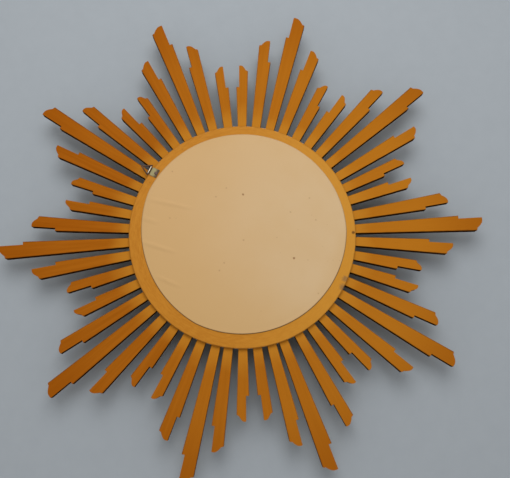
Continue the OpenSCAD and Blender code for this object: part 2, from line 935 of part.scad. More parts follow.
module hinge_leaf() {
    color("#b08d3e")
        stand()
            difference() {
                union() {
                    translate([leaf_in_x - leaf_w, -leaf_half_len, land_z])
                        cube([leaf_w, 2 * leaf_half_len, leaf_t]);
                    for (from_y = [-leaf_half_len, leaf_half_len - leaf_knuckle_len]) {
                        knuckle(knuckle_r, from_y, leaf_knuckle_len);
                        translate([hinge_x - knuckle_r, from_y, land_z])
                            cube([knuckle_r, leaf_knuckle_len, hinge_z - land_z]);
                    }
                }
                knuckle(hinge_pin_r, -2 * leaf_half_len, 4 * leaf_half_len);
                for (side = [-1, 1])
                    at([leaf_screw_x, side * leaf_screw_y], land_z - cut)
                        cylinder(r = screw_r, h = leaf_t + 2 * cut);
            }
}

module hinge_pin() {
    color("#8d8f93")
        stand()
            knuckle(hinge_pin_r, -leaf_half_len, 2 * leaf_half_len);
}

module hinge_screws() {
    color("#b08d3e")
        stand()
            for (side = [-1, 1])
                at([leaf_screw_x, side * leaf_screw_y], land_z + leaf_t)
                    round_head_screw();
}

// Pivot holes that both plates share
module pivot_holes() {
    for (p = [[third_at, third_pivot_r], [fourth_at, fourth_pivot_r], [escape_at, escape_pivot_r],
            [lever_at, lever_pivot_r], [balance_at, staff_pivot_r]])
        translate(p[0])
            circle(p[1] + pivot_gap);
    for (a = pillar_angles)
        translate(polar(pillar_circle_r, a))
            circle(pillar_end_r);
}

module back_plate() {
    color("#c2a050")
        stand()
            translate([0, 0, back_plate_back])
                linear_extrude(plate_t)
                    difference() {
                        circle(plate_r);
                        pivot_holes();
                        circle(centre_pivot_r + pivot_gap);
                        translate(barrel_at)
                            circle(barrel_pivot_r + pivot_gap);
                    }
}

module front_plate() {
    color("#c2a050")
        stand()
            translate([0, 0, front_plate_back])
                linear_extrude(plate_t)
                    difference() {
                        circle(plate_r);
                        pivot_holes();
                        circle(centre_arbor_r + pivot_gap);
                        translate(barrel_at)
                            circle(barrel_arbor_r + pivot_gap);
                        translate(click_at)
                            circle(click_pivot_r);
                        translate(minute_at)
                            circle(stud_r);
                        for (a = post_angles)
                            translate(polar(post_circle_r, a))
                                circle(pillar_end_r);
                    }
}

module plate_pillars() {
    color("#b08d3e")
        stand()
            for (a = pillar_angles)
                at(polar(pillar_circle_r, a), 0) {
                    translate([0, 0, back_plate_front])
                        cylinder(r = post_r, h = plate_gap);
                    translate([0, 0, back_plate_back - nut_h])
                        cylinder(r = pillar_end_r, h = front_plate_front - back_plate_back + nut_h);
                }
}

module pillar_nuts() {
    color("#8d8f93")
        stand()
            for (a = pillar_angles)
                at(polar(pillar_circle_r, a), back_plate_back - nut_h)
                    difference() {
                        cylinder(r = 2 * pillar_end_r, h = nut_h, $fn = 6);
                        translate([0, 0, -cut])
                            cylinder(r = pillar_end_r, h = nut_h + 2 * cut);
                    }
}

module dial_posts() {
    color("#b08d3e")
        stand()
            for (a = post_angles)
                at(polar(post_circle_r, a), 0)
                    difference() {
                        union() {
                            translate([0, 0, front_plate_front])
                                cylinder(r = post_r, h = post_h);
                            translate([0, 0, front_plate_back])
                                cylinder(r = pillar_end_r, h = plate_t);
                        }
                        translate([0, 0, dial_front - screw_bite])
                            cylinder(r = screw_r, h = screw_bite);
                    }
}

module barrel() {
    color("#c9a24a")
        stand()
            at(barrel_at, barrel_z)
                difference() {
                    union() {
                        rotate(barrel_angle + 180)
                            linear_extrude(barrel_floor_t)
                                polygon(gear_points(barrel_teeth, barrel_module, wheel_tooth));
                        cylinder(r = barrel_r, h = barrel_h - barrel_cover_t);
                    }
                    translate([0, 0, barrel_floor_t])
                        cylinder(r = barrel_inner_r, h = barrel_h);
                    translate([0, 0, -cut])
                        cylinder(r = barrel_arbor_r + pivot_gap, h = barrel_h);
                }
}

module barrel_cover() {
    color("#b08d3e")
        stand()
            at(barrel_at, 0)
                washer(barrel_r, barrel_arbor_r + pivot_gap, barrel_top - barrel_cover_t, barrel_cover_t);
}

module mainspring() {
    strip_h = barrel_h - barrel_floor_t - barrel_cover_t - 2 * pass_gap;
    strip_t = 0.6;
    color("#5f6b78")
        stand()
            at(barrel_at, barrel_z + barrel_floor_t + pass_gap)
                linear_extrude(strip_h)
                    polygon(spiral_points(barrel_hub_r + pass_gap, barrel_inner_r - strip_t,
                        mainspring_turns, strip_t));
}

module barrel_arbor() {
    hub_z = barrel_z + barrel_floor_t + end_play;
    shoulder_z = back_plate_front + end_play;
    round_top = front_plate_front + end_play / 2;
    color("#8d8f93")
        stand()
            at(barrel_at, 0) {
                translate([0, 0, back_plate_back])
                    cylinder(r = barrel_pivot_r, h = plate_t + end_play);
                translate([0, 0, shoulder_z])
                    cylinder(r = barrel_arbor_r, h = round_top - shoulder_z);
                translate([0, 0, hub_z])
                    cylinder(r = barrel_hub_r, h = barrel_top - barrel_cover_t - end_play - hub_z);
                translate([-square_w / 2, -square_w / 2, round_top])
                    cube([square_w, square_w, square_top - round_top]);
            }
}

module ratchet_wheel() {
    color("#8d8f93")
        stand()
            at(barrel_at, ratchet_z)
                linear_extrude(ratchet_t)
                    difference() {
                        polygon([for (i = [0 : ratchet_teeth - 1])
                            for (p = [[0, ratchet_tooth], [ratchet_back, 0]])
                            polar(ratchet_r - p[1], (i + p[0]) * 360 / ratchet_teeth)]);
                        square(square_w, center = true);
                    }
}

module click() {
    color("#8d8f93")
        stand()
            translate([0, 0, ratchet_z])
                linear_extrude(ratchet_t)
                    difference() {
                        union() {
                            polygon([click_at - click_half_w * click_out, click_nose,
                                click_nose + click_half_w * click_out, click_at + click_half_w * click_out]);
                            translate(click_at)
                                circle(click_half_w + click_boss);
                        }
                        translate(click_at)
                            circle(click_pivot_r + pivot_gap);
                    }
}

module click_screw() {
    color("#6d7076")
        stand()
            at(click_at, 0) {
                translate([0, 0, front_plate_back])
                    cylinder(r = click_pivot_r, h = ratchet_z + ratchet_t + end_play - front_plate_back);
                translate([0, 0, ratchet_z + ratchet_t + end_play])
                    cylinder(r1 = click_head_r, r2 = click_head_r - click_crown, h = click_head_h);
            }
}

module click_spring() {
    color("#5f6b78")
        stand()
            translate([0, 0, front_plate_front])
                linear_extrude(ratchet_t) {
                    translate(spring_anchor)
                        circle(spring_foot_r);
                    polygon([spring_anchor + spring_t * click_out, spring_anchor,
                        spring_tip, spring_tip + spring_t * click_out]);
                }
}

module centre_wheel() {
    color("#c9a24a")
        stand()
            translate([0, 0, centre_wheel_z])
                rotate(third_angle)
                    crossed_wheel(centre_teeth, centre_module, centre_arbor_r, wheel_t, hub = 3.4, arms = 4);
}

module centre_arbor() {
    color("#8d8f93")
        stand() {
            translate([0, 0, back_plate_back])
                cylinder(r = centre_pivot_r, h = plate_t + end_play);
            translate([0, 0, back_plate_front + end_play])
                cylinder(r = centre_arbor_r, h = nut_z + hand_nut_h - back_plate_front - end_play);
            translate([0, 0, centre_pinion_z])
                rotate(barrel_angle + 180 / pinion_teeth)
                    leaves(pinion_teeth, barrel_module, centre_pinion_h);
        }
}

module third_wheel() {
    color("#c9a24a")
        stand()
            at(third_at, third_wheel_z)
                rotate(fourth_angle)
                    crossed_wheel(third_teeth, third_module, third_arbor_r, wheel_t, hub = 2.8, arms = 4);
}

module third_arbor() {
    color("#8d8f93")
        stand()
            at(third_at, 0) {
                plain_arbor(third_arbor_r, third_pivot_r);
                translate([0, 0, third_pinion_z])
                    rotate(third_angle + 180 + 180 / pinion_teeth)
                        leaves(pinion_teeth, centre_module, pinion_h);
            }
}

module fourth_wheel() {
    color("#c9a24a")
        stand()
            at(fourth_at, fourth_wheel_z)
                rotate(escape_angle)
                    crossed_wheel(fourth_teeth, fourth_module, fourth_arbor_r, wheel_t, hub = 2.6, arms = 4);
}

module fourth_arbor() {
    color("#8d8f93")
        stand()
            at(fourth_at, 0) {
                plain_arbor(fourth_arbor_r, fourth_pivot_r);
                translate([0, 0, fourth_pinion_z])
                    rotate(fourth_angle + 180 + 180 / pinion_teeth)
                        leaves(pinion_teeth, third_module, pinion_h);
            }
}

module escape_wheel() {
    color("#c9a24a")
        stand()
            at(escape_at, escape_wheel_z)
                linear_extrude(escape_wheel_t)
                    difference() {
                        polygon([for (i = [0 : escape_teeth - 1])
                            for (p = [[0, escape_tooth], [0.38, 0], [0.46, 0], [0.54, escape_tooth]])
                            polar(escape_r - p[1], (i + p[0]) * 360 / escape_teeth)]);
                        circle(escape_arbor_r);
                        wheel_windows(escape_root_r - escape_rim, hub = 2, arms = 3, arm_w = 1.1);
                    }
}

module escape_arbor() {
    color("#8d8f93")
        stand()
            at(escape_at, 0) {
                plain_arbor(escape_arbor_r, escape_pivot_r);
                translate([0, 0, escape_pinion_z])
                    rotate(escape_angle + 180 + 180 / pinion_teeth)
                        leaves(pinion_teeth, fourth_module, pinion_h);
            }
}

module pallet_lever() {
    color("#8d8f93")
        stand()
            at(lever_at, 0) {
                plain_arbor(lever_arbor_r, lever_pivot_r);
                translate([0, 0, lever_z])
                    linear_extrude(lever_t)
                        pallet_lever_outline();
                rotate(lever_angle + 180)
                    for (side = [-1, 1])
                        at([pallet_x, side * pallet_y], escape_wheel_z - pass_gap)
                            cylinder(r = pallet_pin_r, h = lever_z + lever_t - escape_wheel_z + pass_gap);
            }
}

// Flat outline of the lever: hub, two pallet arms and the forked tail
module pallet_lever_outline() {
    circle(lever_hub_r);
    for (side = [-1, 1])
        rotate(lever_angle + 180 + side * pallet_arm_angle) {
            translate([0, -lever_arm_w / 2])
                square([pallet_arm_len, lever_arm_w]);
            translate([pallet_arm_len, 0])
                circle(lever_arm_w / 2 + pallet_boss);
        }
    rotate(balance_angle)
        difference() {
            union() {
                translate([0, -lever_arm_w / 2])
                    square([fork_len - fork_slot_depth, lever_arm_w]);
                translate([fork_len - fork_head, -fork_w / 2])
                    square([fork_head, fork_w]);
            }
            translate([fork_len - fork_slot_depth, -fork_slot / 2])
                square([fork_head, fork_slot]);
        }
}

module balance_wheel() {
    color("#c9a24a")
        stand()
            at(balance_at, balance_z)
                linear_extrude(balance_t)
                    difference() {
                        circle(balance_r);
                        circle(staff_r);
                        wheel_windows(balance_r - balance_rim, hub = 1.8, arms = 3, arm_w = 1.3);
                    }
}

module balance_staff() {
    color("#8d8f93")
        stand()
            at(balance_at, 0) {
                plain_arbor(staff_r, staff_pivot_r);
                translate([0, 0, roller_z])
                    cylinder(r = roller_r, h = roller_t);
                rotate(balance_angle + 180)
                    translate([impulse_r, 0, lever_z])
                        cylinder(r = impulse_pin_r, h = roller_z + roller_t - lever_z);
            }
}

module hairspring() {
    collet_r = 1.7;
    strip_t = 0.25;
    color("#4a6a9a")
        stand()
            at(balance_at, hairspring_z)
                linear_extrude(hairspring_t) {
                    difference() {
                        circle(collet_r);
                        circle(staff_r);
                    }
                    polygon(spiral_points(collet_r - strip_t / 2, hairspring_r,
                        hairspring_turns, strip_t));
                }
}

module cannon_pinion() {
    color("#8d8f93")
        stand()
            difference() {
                union() {
                    translate([0, 0, motion_z - pass_gap])
                        rotate(minute_angle)
                            leaves(cannon_teeth, cannon_module, motion_t + 2 * pass_gap);
                    translate([0, 0, motion_z])
                        cylinder(r = cannon_r, h = nut_z - motion_z);
                }
                translate([0, 0, front_plate_front])
                    cylinder(r = centre_arbor_r + pivot_gap, h = nut_z);
            }
}

module minute_wheel() {
    color("#c9a24a")
        stand()
            at(minute_at, motion_z)
                difference() {
                    union() {
                        rotate(minute_angle + 180 + 180 / minute_teeth)
                            crossed_wheel(minute_teeth, cannon_module, stud_r + pivot_gap, motion_t,
                                hub = 5, arms = 4);
                        rotate(minute_angle + 180)
                            leaves(minute_pinion_teeth, hour_module, hour_wheel_z + hour_wheel_t - motion_z);
                    }
                    translate([0, 0, -cut])
                        cylinder(r = stud_r + pivot_gap, h = post_h + 2 * cut);
                }
}

module minute_stud() {
    color("#8d8f93")
        stand()
            at(minute_at, 0) {
                translate([0, 0, front_plate_back])
                    cylinder(r = stud_r, h = hour_wheel_z + hour_wheel_t + stud_end - front_plate_back);
                translate([0, 0, front_plate_front])
                    cylinder(r = 2 * stud_r, h = motion_z - front_plate_front - end_play);
            }
}

module hour_wheel() {
    color("#c9a24a")
        stand()
            difference() {
                union() {
                    translate([0, 0, hour_wheel_z])
                        rotate(minute_angle + 180 / hour_teeth)
                            crossed_wheel(hour_teeth, hour_module, cannon_r + pivot_gap, hour_wheel_t,
                                hub = 5, arms = 4);
                    translate([0, 0, hour_wheel_z])
                        cylinder(r = pipe_r, h = hour_hand_z + hand_t - hour_wheel_z);
                }
                translate([0, 0, front_plate_front])
                    cylinder(r = cannon_r + pivot_gap, h = nut_z);
            }
}

// Flat outline of a hand along +x: tail, belly and point around its hub
module hand_outline(reach, hub, bore) {
    tail = reach / 6;
    belly = 0.3 * reach;
    point = hand_w / 15;
    difference() {
        union() {
            polygon([[-tail, -hand_w / 5], [0, -hand_w / 3], [belly, -hand_w / 2], [reach, -point],
                [reach, point], [belly, hand_w / 2], [0, hand_w / 3], [-tail, hand_w / 5]]);
            circle(hub);
        }
        circle(bore);
    }
}

module minute_hand() {
    color("#2b2622")
        stand()
            translate([0, 0, minute_hand_z])
                rotate(minute_hand_angle)
                    linear_extrude(hand_t)
                        hand_outline(minute_len, minute_hub_r, cannon_r);
}

module hour_hand() {
    color("#2b2622")
        stand()
            translate([0, 0, hour_hand_z])
                rotate(hour_hand_angle)
                    linear_extrude(hand_t)
                        hand_outline(hour_len, hour_hub_r, pipe_r);
}

module hand_nut() {
    color("#c9a24a")
        stand()
            difference() {
                translate([0, 0, nut_z])
                    cylinder(r1 = hand_nut_r, r2 = hand_nut_r - hand_nut_taper, h = hand_nut_h);
                translate([0, 0, nut_z - cut])
                    cylinder(r = centre_arbor_r + pivot_gap, h = hand_nut_h + 2 * cut);
            }
}

ray_cluster(0);  // ray_cluster_1
ray_cluster(1);  // ray_cluster_2
ray_cluster(2);  // ray_cluster_3
ray_cluster(3);  // ray_cluster_4
ray_cluster(4);  // ray_cluster_5
ray_cluster(5);  // ray_cluster_6
ray_cluster(6);  // ray_cluster_7
ray_cluster(7);  // ray_cluster_8
ray_cluster(8);  // ray_cluster_9
ray_cluster(9);  // ray_cluster_10
back_ring();
paper_cover();
hub_ring();
front_ring();
ring_screws();
hanger_strap();
hanger_loop();
hanger_nail();
dial_plate();
hour_batons();
dial_screws();
winding_grommet();
bezel();
glass();
glass_retainer();
hinge_leaf();
hinge_pin();
hinge_screws();
back_plate();
front_plate();
plate_pillars();
pillar_nuts();
dial_posts();
barrel();
barrel_cover();
mainspring();
barrel_arbor();
ratchet_wheel();
click();
click_screw();
click_spring();
centre_wheel();
centre_arbor();
third_wheel();
third_arbor();
fourth_wheel();
fourth_arbor();
escape_wheel();
escape_arbor();
pallet_lever();
balance_wheel();
balance_staff();
hairspring();
cannon_pinion();
minute_wheel();
minute_stud();
hour_wheel();
minute_hand();
hour_hand();
hand_nut();
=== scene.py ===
"""Looks of a gilt sunburst wall clock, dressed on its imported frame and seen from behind."""

import logging
import math
from dataclasses import dataclass, field
from enum import Enum

import bmesh
import bpy
from mathutils import Matrix, Vector, noise


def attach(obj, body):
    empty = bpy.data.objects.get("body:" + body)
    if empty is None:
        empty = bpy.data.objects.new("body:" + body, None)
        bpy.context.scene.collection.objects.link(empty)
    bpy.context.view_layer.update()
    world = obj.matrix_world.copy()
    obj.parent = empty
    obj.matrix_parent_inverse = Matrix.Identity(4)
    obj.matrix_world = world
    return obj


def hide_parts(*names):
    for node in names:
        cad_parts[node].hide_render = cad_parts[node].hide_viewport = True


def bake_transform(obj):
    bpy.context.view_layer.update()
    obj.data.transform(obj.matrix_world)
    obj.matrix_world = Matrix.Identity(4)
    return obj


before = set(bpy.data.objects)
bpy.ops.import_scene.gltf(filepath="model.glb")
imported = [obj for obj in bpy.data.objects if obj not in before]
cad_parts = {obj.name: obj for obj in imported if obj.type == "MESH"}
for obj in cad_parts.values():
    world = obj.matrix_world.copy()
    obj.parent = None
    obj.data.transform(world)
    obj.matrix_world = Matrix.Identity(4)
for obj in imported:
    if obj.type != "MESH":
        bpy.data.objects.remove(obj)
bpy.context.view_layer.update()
LOG = logging.getLogger("sunburst_clock")
IMAGE_WIDTH_PX = 510
SENSOR_WIDTH_MM = 36.0
MM = 0.001

Colour = tuple[float, float, float]
Point = tuple[float, float]
Fade = tuple[float, float]

# The photo's right and down on the clock's back, along X and Z.
PICTURE_RIGHT: Point = (-0.579, -0.815)
PICTURE_DOWN: Point = (0.815, -0.579)


def polar(reach: float, bearing_deg: float) -> Point:
    """Point at a distance from the axis, its bearing counted from +X towards +Z."""
    bearing = math.radians(bearing_deg)
    return reach * math.cos(bearing), reach * math.sin(bearing)


def add_object(name: str, data: bpy.types.ID) -> bpy.types.Object:
    """Adds an object to the scene.

    Args:
        name: The object's name.
        data: Its mesh, lamp or camera.

    Returns:
        The new object.
    """
    made = bpy.data.objects.new(name, data)
    bpy.context.scene.collection.objects.link(made)
    return made


class Sock:
    """A shader socket that takes part in Python expressions."""

    def __init__(self, shader: "Shader", socket: bpy.types.NodeSocket) -> None:
        """Keeps the socket and the shader that its results are added to.

        Args:
            shader: The node tree that the socket belongs to.
            socket: An output socket of one of its nodes.
        """
        self.shader = shader
        self.socket = socket

    def _math(self, operation: str, *values: "Sock | float") -> "Sock":
        """Adds a Math node.

        Args:
            operation: Blender's name of the operation.
            values: Its operands, in order.

        Returns:
            The node's result.
        """
        made = self.shader.node("Math", {"operation": operation}, dict(enumerate(values)))
        return Sock(self.shader, made.outputs[0])

    def __add__(self, other: "Sock | float") -> "Sock":
        """Sum."""
        return self._math("ADD", self, other)

    __radd__ = __add__

    def __sub__(self, other: "Sock | float") -> "Sock":
        """Difference."""
        return self._math("SUBTRACT", self, other)

    def __rsub__(self, other: float) -> "Sock":
        """Difference from a number."""
        return self._math("SUBTRACT", other, self)

    def __mul__(self, other: "Sock | float") -> "Sock":
        """Product."""
        return self._math("MULTIPLY", self, other)

    __rmul__ = __mul__

    def __truediv__(self, other: "Sock | float") -> "Sock":
        """Quotient."""
        return self._math("DIVIDE", self, other)

    def __pow__(self, other: float) -> "Sock":
        """Power."""
        return self._math("POWER", self, other)

    def __abs__(self) -> "Sock":
        """Size without sign."""
        return self._math("ABSOLUTE", self)

    def __neg__(self) -> "Sock":
        """Opposite sign."""
        return self._math("MULTIPLY", self, -1.0)

    def sqrt(self) -> "Sock":
        """Square root."""
        return self._math("SQRT", self)

    def span(self, other: "Sock") -> "Sock":
        """Straight distance that two sides at right angles make."""
        return (self * self + other * other).sqrt()

    def floor(self) -> "Sock":
        """Next whole number down."""
        return self._math("FLOOR", self)

    def fraction(self) -> "Sock":
        """What is left above the next whole number down."""
        return self._math("FRACT", self)

    def bearing(self, other: "Sock") -> "Sock":
        """Angle whose tangent is this value over the other one."""
        return self._math("ARCTAN2", self, other)

    def at_least(self, other: "Sock | float") -> "Sock":
        """The larger of two values."""
        return self._math("MAXIMUM", self, other)

    def at_most(self, other: "Sock | float") -> "Sock":
        """The smaller of two values."""
        return self._math("MINIMUM", self, other)

    def matches(self, number: float) -> "Sock":
        """1 where a whole value is the given number, 0 elsewhere."""
        return self._math("COMPARE", self, number, 0.5)

    def ease(self, low: "Sock | float", high: "Sock | float") -> "Sock":
        """Smooth step.

        Args:
            low: Value at which the result is 0.
            high: Value at which the result is 1.

        Returns:
            A mask from 0 to 1.
        """
        made = self.shader.node(
            "MapRange",
            {"interpolation_type": "SMOOTHSTEP"},
            {"Value": self, "From Min": low, "From Max": high},
        )
        return Sock(self.shader, made.outputs[0])


class Shader:
    """Builds the nodes of one material or world from Python expressions."""

    def __init__(self, owner: bpy.types.Material | bpy.types.World) -> None:
        """Starts with no nodes.

        Args:
            owner: The material or world that the nodes are for.
        """
        owner.use_nodes = True
        self.tree = owner.node_tree
        self.tree.nodes.clear()

    def node(
        self,
        kind: str,
        settings: dict[str, object] | None = None,
        sockets: dict[str | int, object] | None = None,
    ) -> bpy.types.Node:
        """Adds a node.

        Args:
            kind: Blender's type of the node, without the ShaderNode prefix.
            settings: The node's own properties, set first.
            sockets: Values or links of its inputs, by name, identifier or place.

        Returns:
            The new node.
        """
        made = self.tree.nodes.new("ShaderNode" + kind)
        for key, value in (settings or {}).items():
            setattr(made, key, value)
        for key, value in (sockets or {}).items():
            named = [one for one in made.inputs if one.identifier == key]
            socket = named[0] if named else made.inputs[key]
            if isinstance(value, Sock):
                self.tree.links.new(value.socket, socket)
            elif isinstance(value, tuple) and socket.type == "RGBA":
                socket.default_value = (*value, 1.0)
            else:
                socket.default_value = value
        return made

    def out(self, made: bpy.types.Node, key: str | int = 0) -> Sock:
        """An output of a node, ready for expressions."""
        return Sock(self, made.outputs[key])

    def axes(self, source: str) -> tuple[Sock, Sock, Sock]:
        """Splits a texture coordinate.

        Args:
            source: Output of the Texture Coordinate node.

        Returns:
            Its x, y and z.
        """
        coords = self.node("TexCoord")
        split = self.node("SeparateXYZ", None, {0: self.out(coords, source)})
        return self.out(split, 0), self.out(split, 1), self.out(split, 2)

    def place(self) -> tuple[Sock, Sock, Sock]:
        """Place on the clock in metres, in its own frame."""
        return self.axes("Object")

    def facing(self) -> tuple[Sock, Sock, Sock]:
        """Surface direction in the clock's own frame."""
        return self.axes("Normal")

    def vector(self, x: Sock | float, y: Sock | float, z: Sock | float) -> Sock:
        """Joins three values into a vector."""
        return self.out(self.node("CombineXYZ", None, {0: x, 1: y, 2: z}))

    def grain(self, at: Sock, scale: float, detail: float = 3.0, rough: float = 0.55) -> Sock:
        """Noise value.

        Args:
            at: Vector that the noise is read at.
            scale: Its scale.
            detail: How many finer layers it has.
            rough: How strong the finer layers are.

        Returns:
            A value around 0.5.
        """
        made = self.node(
            "TexNoise", None, {"Vector": at, "Scale": scale, "Detail": detail, "Roughness": rough}
        )
        return self.out(made, 0)

    def cells(self, at: Sock, scale: float) -> Sock:
        """Distance to the nearest of many scattered points."""
        return self.out(self.node("TexVoronoi", None, {"Vector": at, "Scale": scale}), "Distance")

    def lot(self, number: Sock) -> Sock:
        """A steady random value for each whole number."""
        made = self.node("TexWhiteNoise", {"noise_dimensions": "1D"}, {"W": number})
        return self.out(made, "Value")

    def mix(self, share: Sock | float, first: Sock | Colour, second: Sock | Colour) -> Sock:
        """Mixes two colours.

        Args:
            share: Share of the second colour.
            first: Colour at 0.
            second: Colour at 1.

        Returns:
            The mixed colour.
        """
        made = self.node(
            "Mix",
            {"data_type": "RGBA"},
            {"Factor_Float": share, "A_Color": first, "B_Color": second},
        )
        return self.out(made, 2)

    def relief(self, height: Sock, depth: float) -> Sock:
        """Bumped surface direction.

        Args:
            height: Height of the surface, about 0 to 1.
            depth: Height of 1, in metres.

        Returns:
            The direction for a shader's Normal.
        """
        made = self.node("Bump", None, {"Strength": 1.0, "Distance": depth, "Height": height})
        return self.out(made)

    def coat(self, **sockets: object) -> None:
        """Ends the material in one Principled shader.

        Args:
            sockets: Its inputs, with underscores for the spaces in their names.
        """
        named = {key.replace("_", " "): value for key, value in sockets.items()}
        body = self.node("BsdfPrincipled", None, named)
        self.node("OutputMaterial", None, {"Surface": self.out(body)})


def place_along(axis: Point, x: Sock | float, z: Sock | float) -> Sock | float:
    """Place along an axis on the clock's back, from its middle."""
    return x * axis[0] + z * axis[1]


def spot(shader: Shader, x: Sock, z: Sock, at: Point, size: float, soft: float = 0.6) -> Sock:
    """Mask of one round blemish on the back.

    Args:
        shader: The material.
        x: Place across the clock.
        z: Place up the clock.
        at: The blemish's middle in millimetres.
        size: Its radius in millimetres.
        soft: Share of the radius over which it fades.

    Returns:
        1 in the blemish and 0 outside.
    """
    right = x * (1 / MM) - at[0]
    up = z * (1 / MM) - at[1]
    ragged = shader.grain(shader.vector(x, 0.0, z), 420.0, 2.0) * size
    away = right.span(up) + ragged - 0.5 * size
    return 1 - away.ease(size * (1 - soft), size)


@dataclass(frozen=True)
class Finish:
    """A surface finish that becomes one material."""

    name: str

    def material(self) -> bpy.types.Material:
        """Makes the material.

        Returns:
            The finished material.
        """
        made = bpy.data.materials.new(self.name)
        self.paint(Shader(made))
        return made

    def paint(self, shader: Shader) -> None:
        """Adds the finish's nodes to a new material."""
        raise NotImplementedError


@dataclass(frozen=True)
class GiltRayPaint(Finish):
    """Bronze-gold paint on the rays: streaked along each stick, brown at its edges, with painted
    shade on their sides.
    """

    warm: Colour = (0.375, 0.105, 0.0060)
    deep: Colour = (0.310, 0.080, 0.0035)
    golden: Colour = (0.465, 0.168, 0.0120)
    near_ring: Colour = (0.520, 0.210, 0.0200)
    tip: Colour = (0.300, 0.075, 0.0030)
    # Brown of the worn edges and dark fibres, also the near-black painted shade on the ray sides.
    edge: Colour = (0.035, 0.012, 0.0045)
    leaf: Colour = (0.640, 0.370, 0.0950)
    bole: Colour = (0.220, 0.060, 0.0250)
    ray_count: int = 50
    pitch_deg: float = 7.2
    phase_deg: float = 3.4
    leans_deg: tuple[tuple[int, float], ...] = (
        (0, 0.6), (1, 0.4), (6, 0.6), (7, 0.5), (13, -0.6), (14, -0.7), (15, -1.0), (20, 1.1),
        (25, -0.7), (26, -0.6), (27, -0.5), (30, 0.7), (31, 0.9), (33, 0.4), (34, 0.8), (39, -0.4),
        (44, -0.7),
    )
    ring_r: float = 0.152
    root_w: float = 0.012
    flare: float = 0.062
    tip_from: float = 0.225
    tip_to: float = 0.335
    depth: float = 0.00015

    def bearing_index(self, place: int) -> int:
        """A ray's place, counted backwards past six o'clock."""
        return place if place < self.ray_count // 2 else place - self.ray_count

    def paint(self, shader: Shader) -> None:
        """Adds the paint's nodes, one tone for each ray.

        Args:
            shader: Nodes of the new material.
        """
        x, y, z = shader.place()
        _, toward, _ = shader.facing()
        reach = x.span(z)
        turn = (x.bearing(z) - math.radians(self.phase_deg)) / math.radians(self.pitch_deg)
        index = (turn + 0.5).floor()
        lean = sum(index.matches(self.bearing_index(ray)) * angle for ray, angle in self.leans_deg)
        across = (turn - index + lean / self.pitch_deg) * reach * math.radians(self.pitch_deg)
        tone = shader.lot(index)
        offset = tone * 40.0
        streak = shader.grain(shader.vector(reach * 9.0, across * 230.0, offset), 1.0, 4.0, 0.6)
        fibre = shader.grain(shader.vector(reach * 70.0, across * 1500.0, offset), 1.0, 3.0)
        cloud = shader.grain(shader.vector(x, y, z), 24.0, 3.0)
        worn = shader.grain(shader.vector(x, y, z), 130.0, 3.0)

        right_side = place_along(PICTURE_RIGHT, x, z)
        body = shader.mix(streak.ease(0.30, 0.70), self.deep, self.warm)
        body = shader.mix(right_side.ease(-0.30, 0.30) * 0.8 + tone * 0.20, body, self.golden)
        patch_end = cloud * 0.05 + self.ring_r + 0.002 + tone * 0.012
        body = shader.mix((1 - reach.ease(self.ring_r, patch_end)) * 0.85, body, self.near_ring)
        body = shader.mix(reach.ease(self.tip_from, self.tip_to) * 0.55, body, self.tip)
        body = shader.mix(fibre.ease(0.56, 0.74) * 0.10, body, self.edge)
        half_w = (reach - self.ring_r) * (self.flare / 2) + self.root_w / 2
        rim = (abs(across) / half_w + (worn - 0.5) * 0.16).ease(0.86, 1.02)
        body = shader.mix(rim * 0.55, body, self.edge)

        front = (-toward).ease(0.3, 0.7)
        rubbed = (worn + rim * 0.25).ease(0.60, 0.80)
        gilt = shader.mix(streak.ease(0.25, 0.75) * 0.35, self.leaf, self.warm)
        gilt = shader.mix(rubbed * 0.7, gilt, self.bole)
        # The side faces keep their sawn grain but are painted near-black brown: painted shade.
        side = 1 - abs(toward).ease(0.35, 0.75)
        colour = shader.mix(front, body, gilt)
        sawn = shader.grain(shader.vector(reach * 45.0, y * 900.0, offset), 1.0, 4.0, 0.6)
        sawn_grain_and_painted_shade = shader.mix(sawn.ease(0.50, 0.80) * 0.45, self.edge, self.deep)
        colour = shader.mix(side, colour, sawn_grain_and_painted_shade)
        height = streak * 0.5 + fibre * 0.3 + worn * 0.2
        shader.coat(
            Base_Color=colour,
            Roughness=worn * 0.20 + 0.40 + side * 0.15,
            Metallic=front * (1 - rubbed) * 0.65,
            Specular_IOR_Level=0.0,
            Normal=shader.relief(height, self.depth),
        )


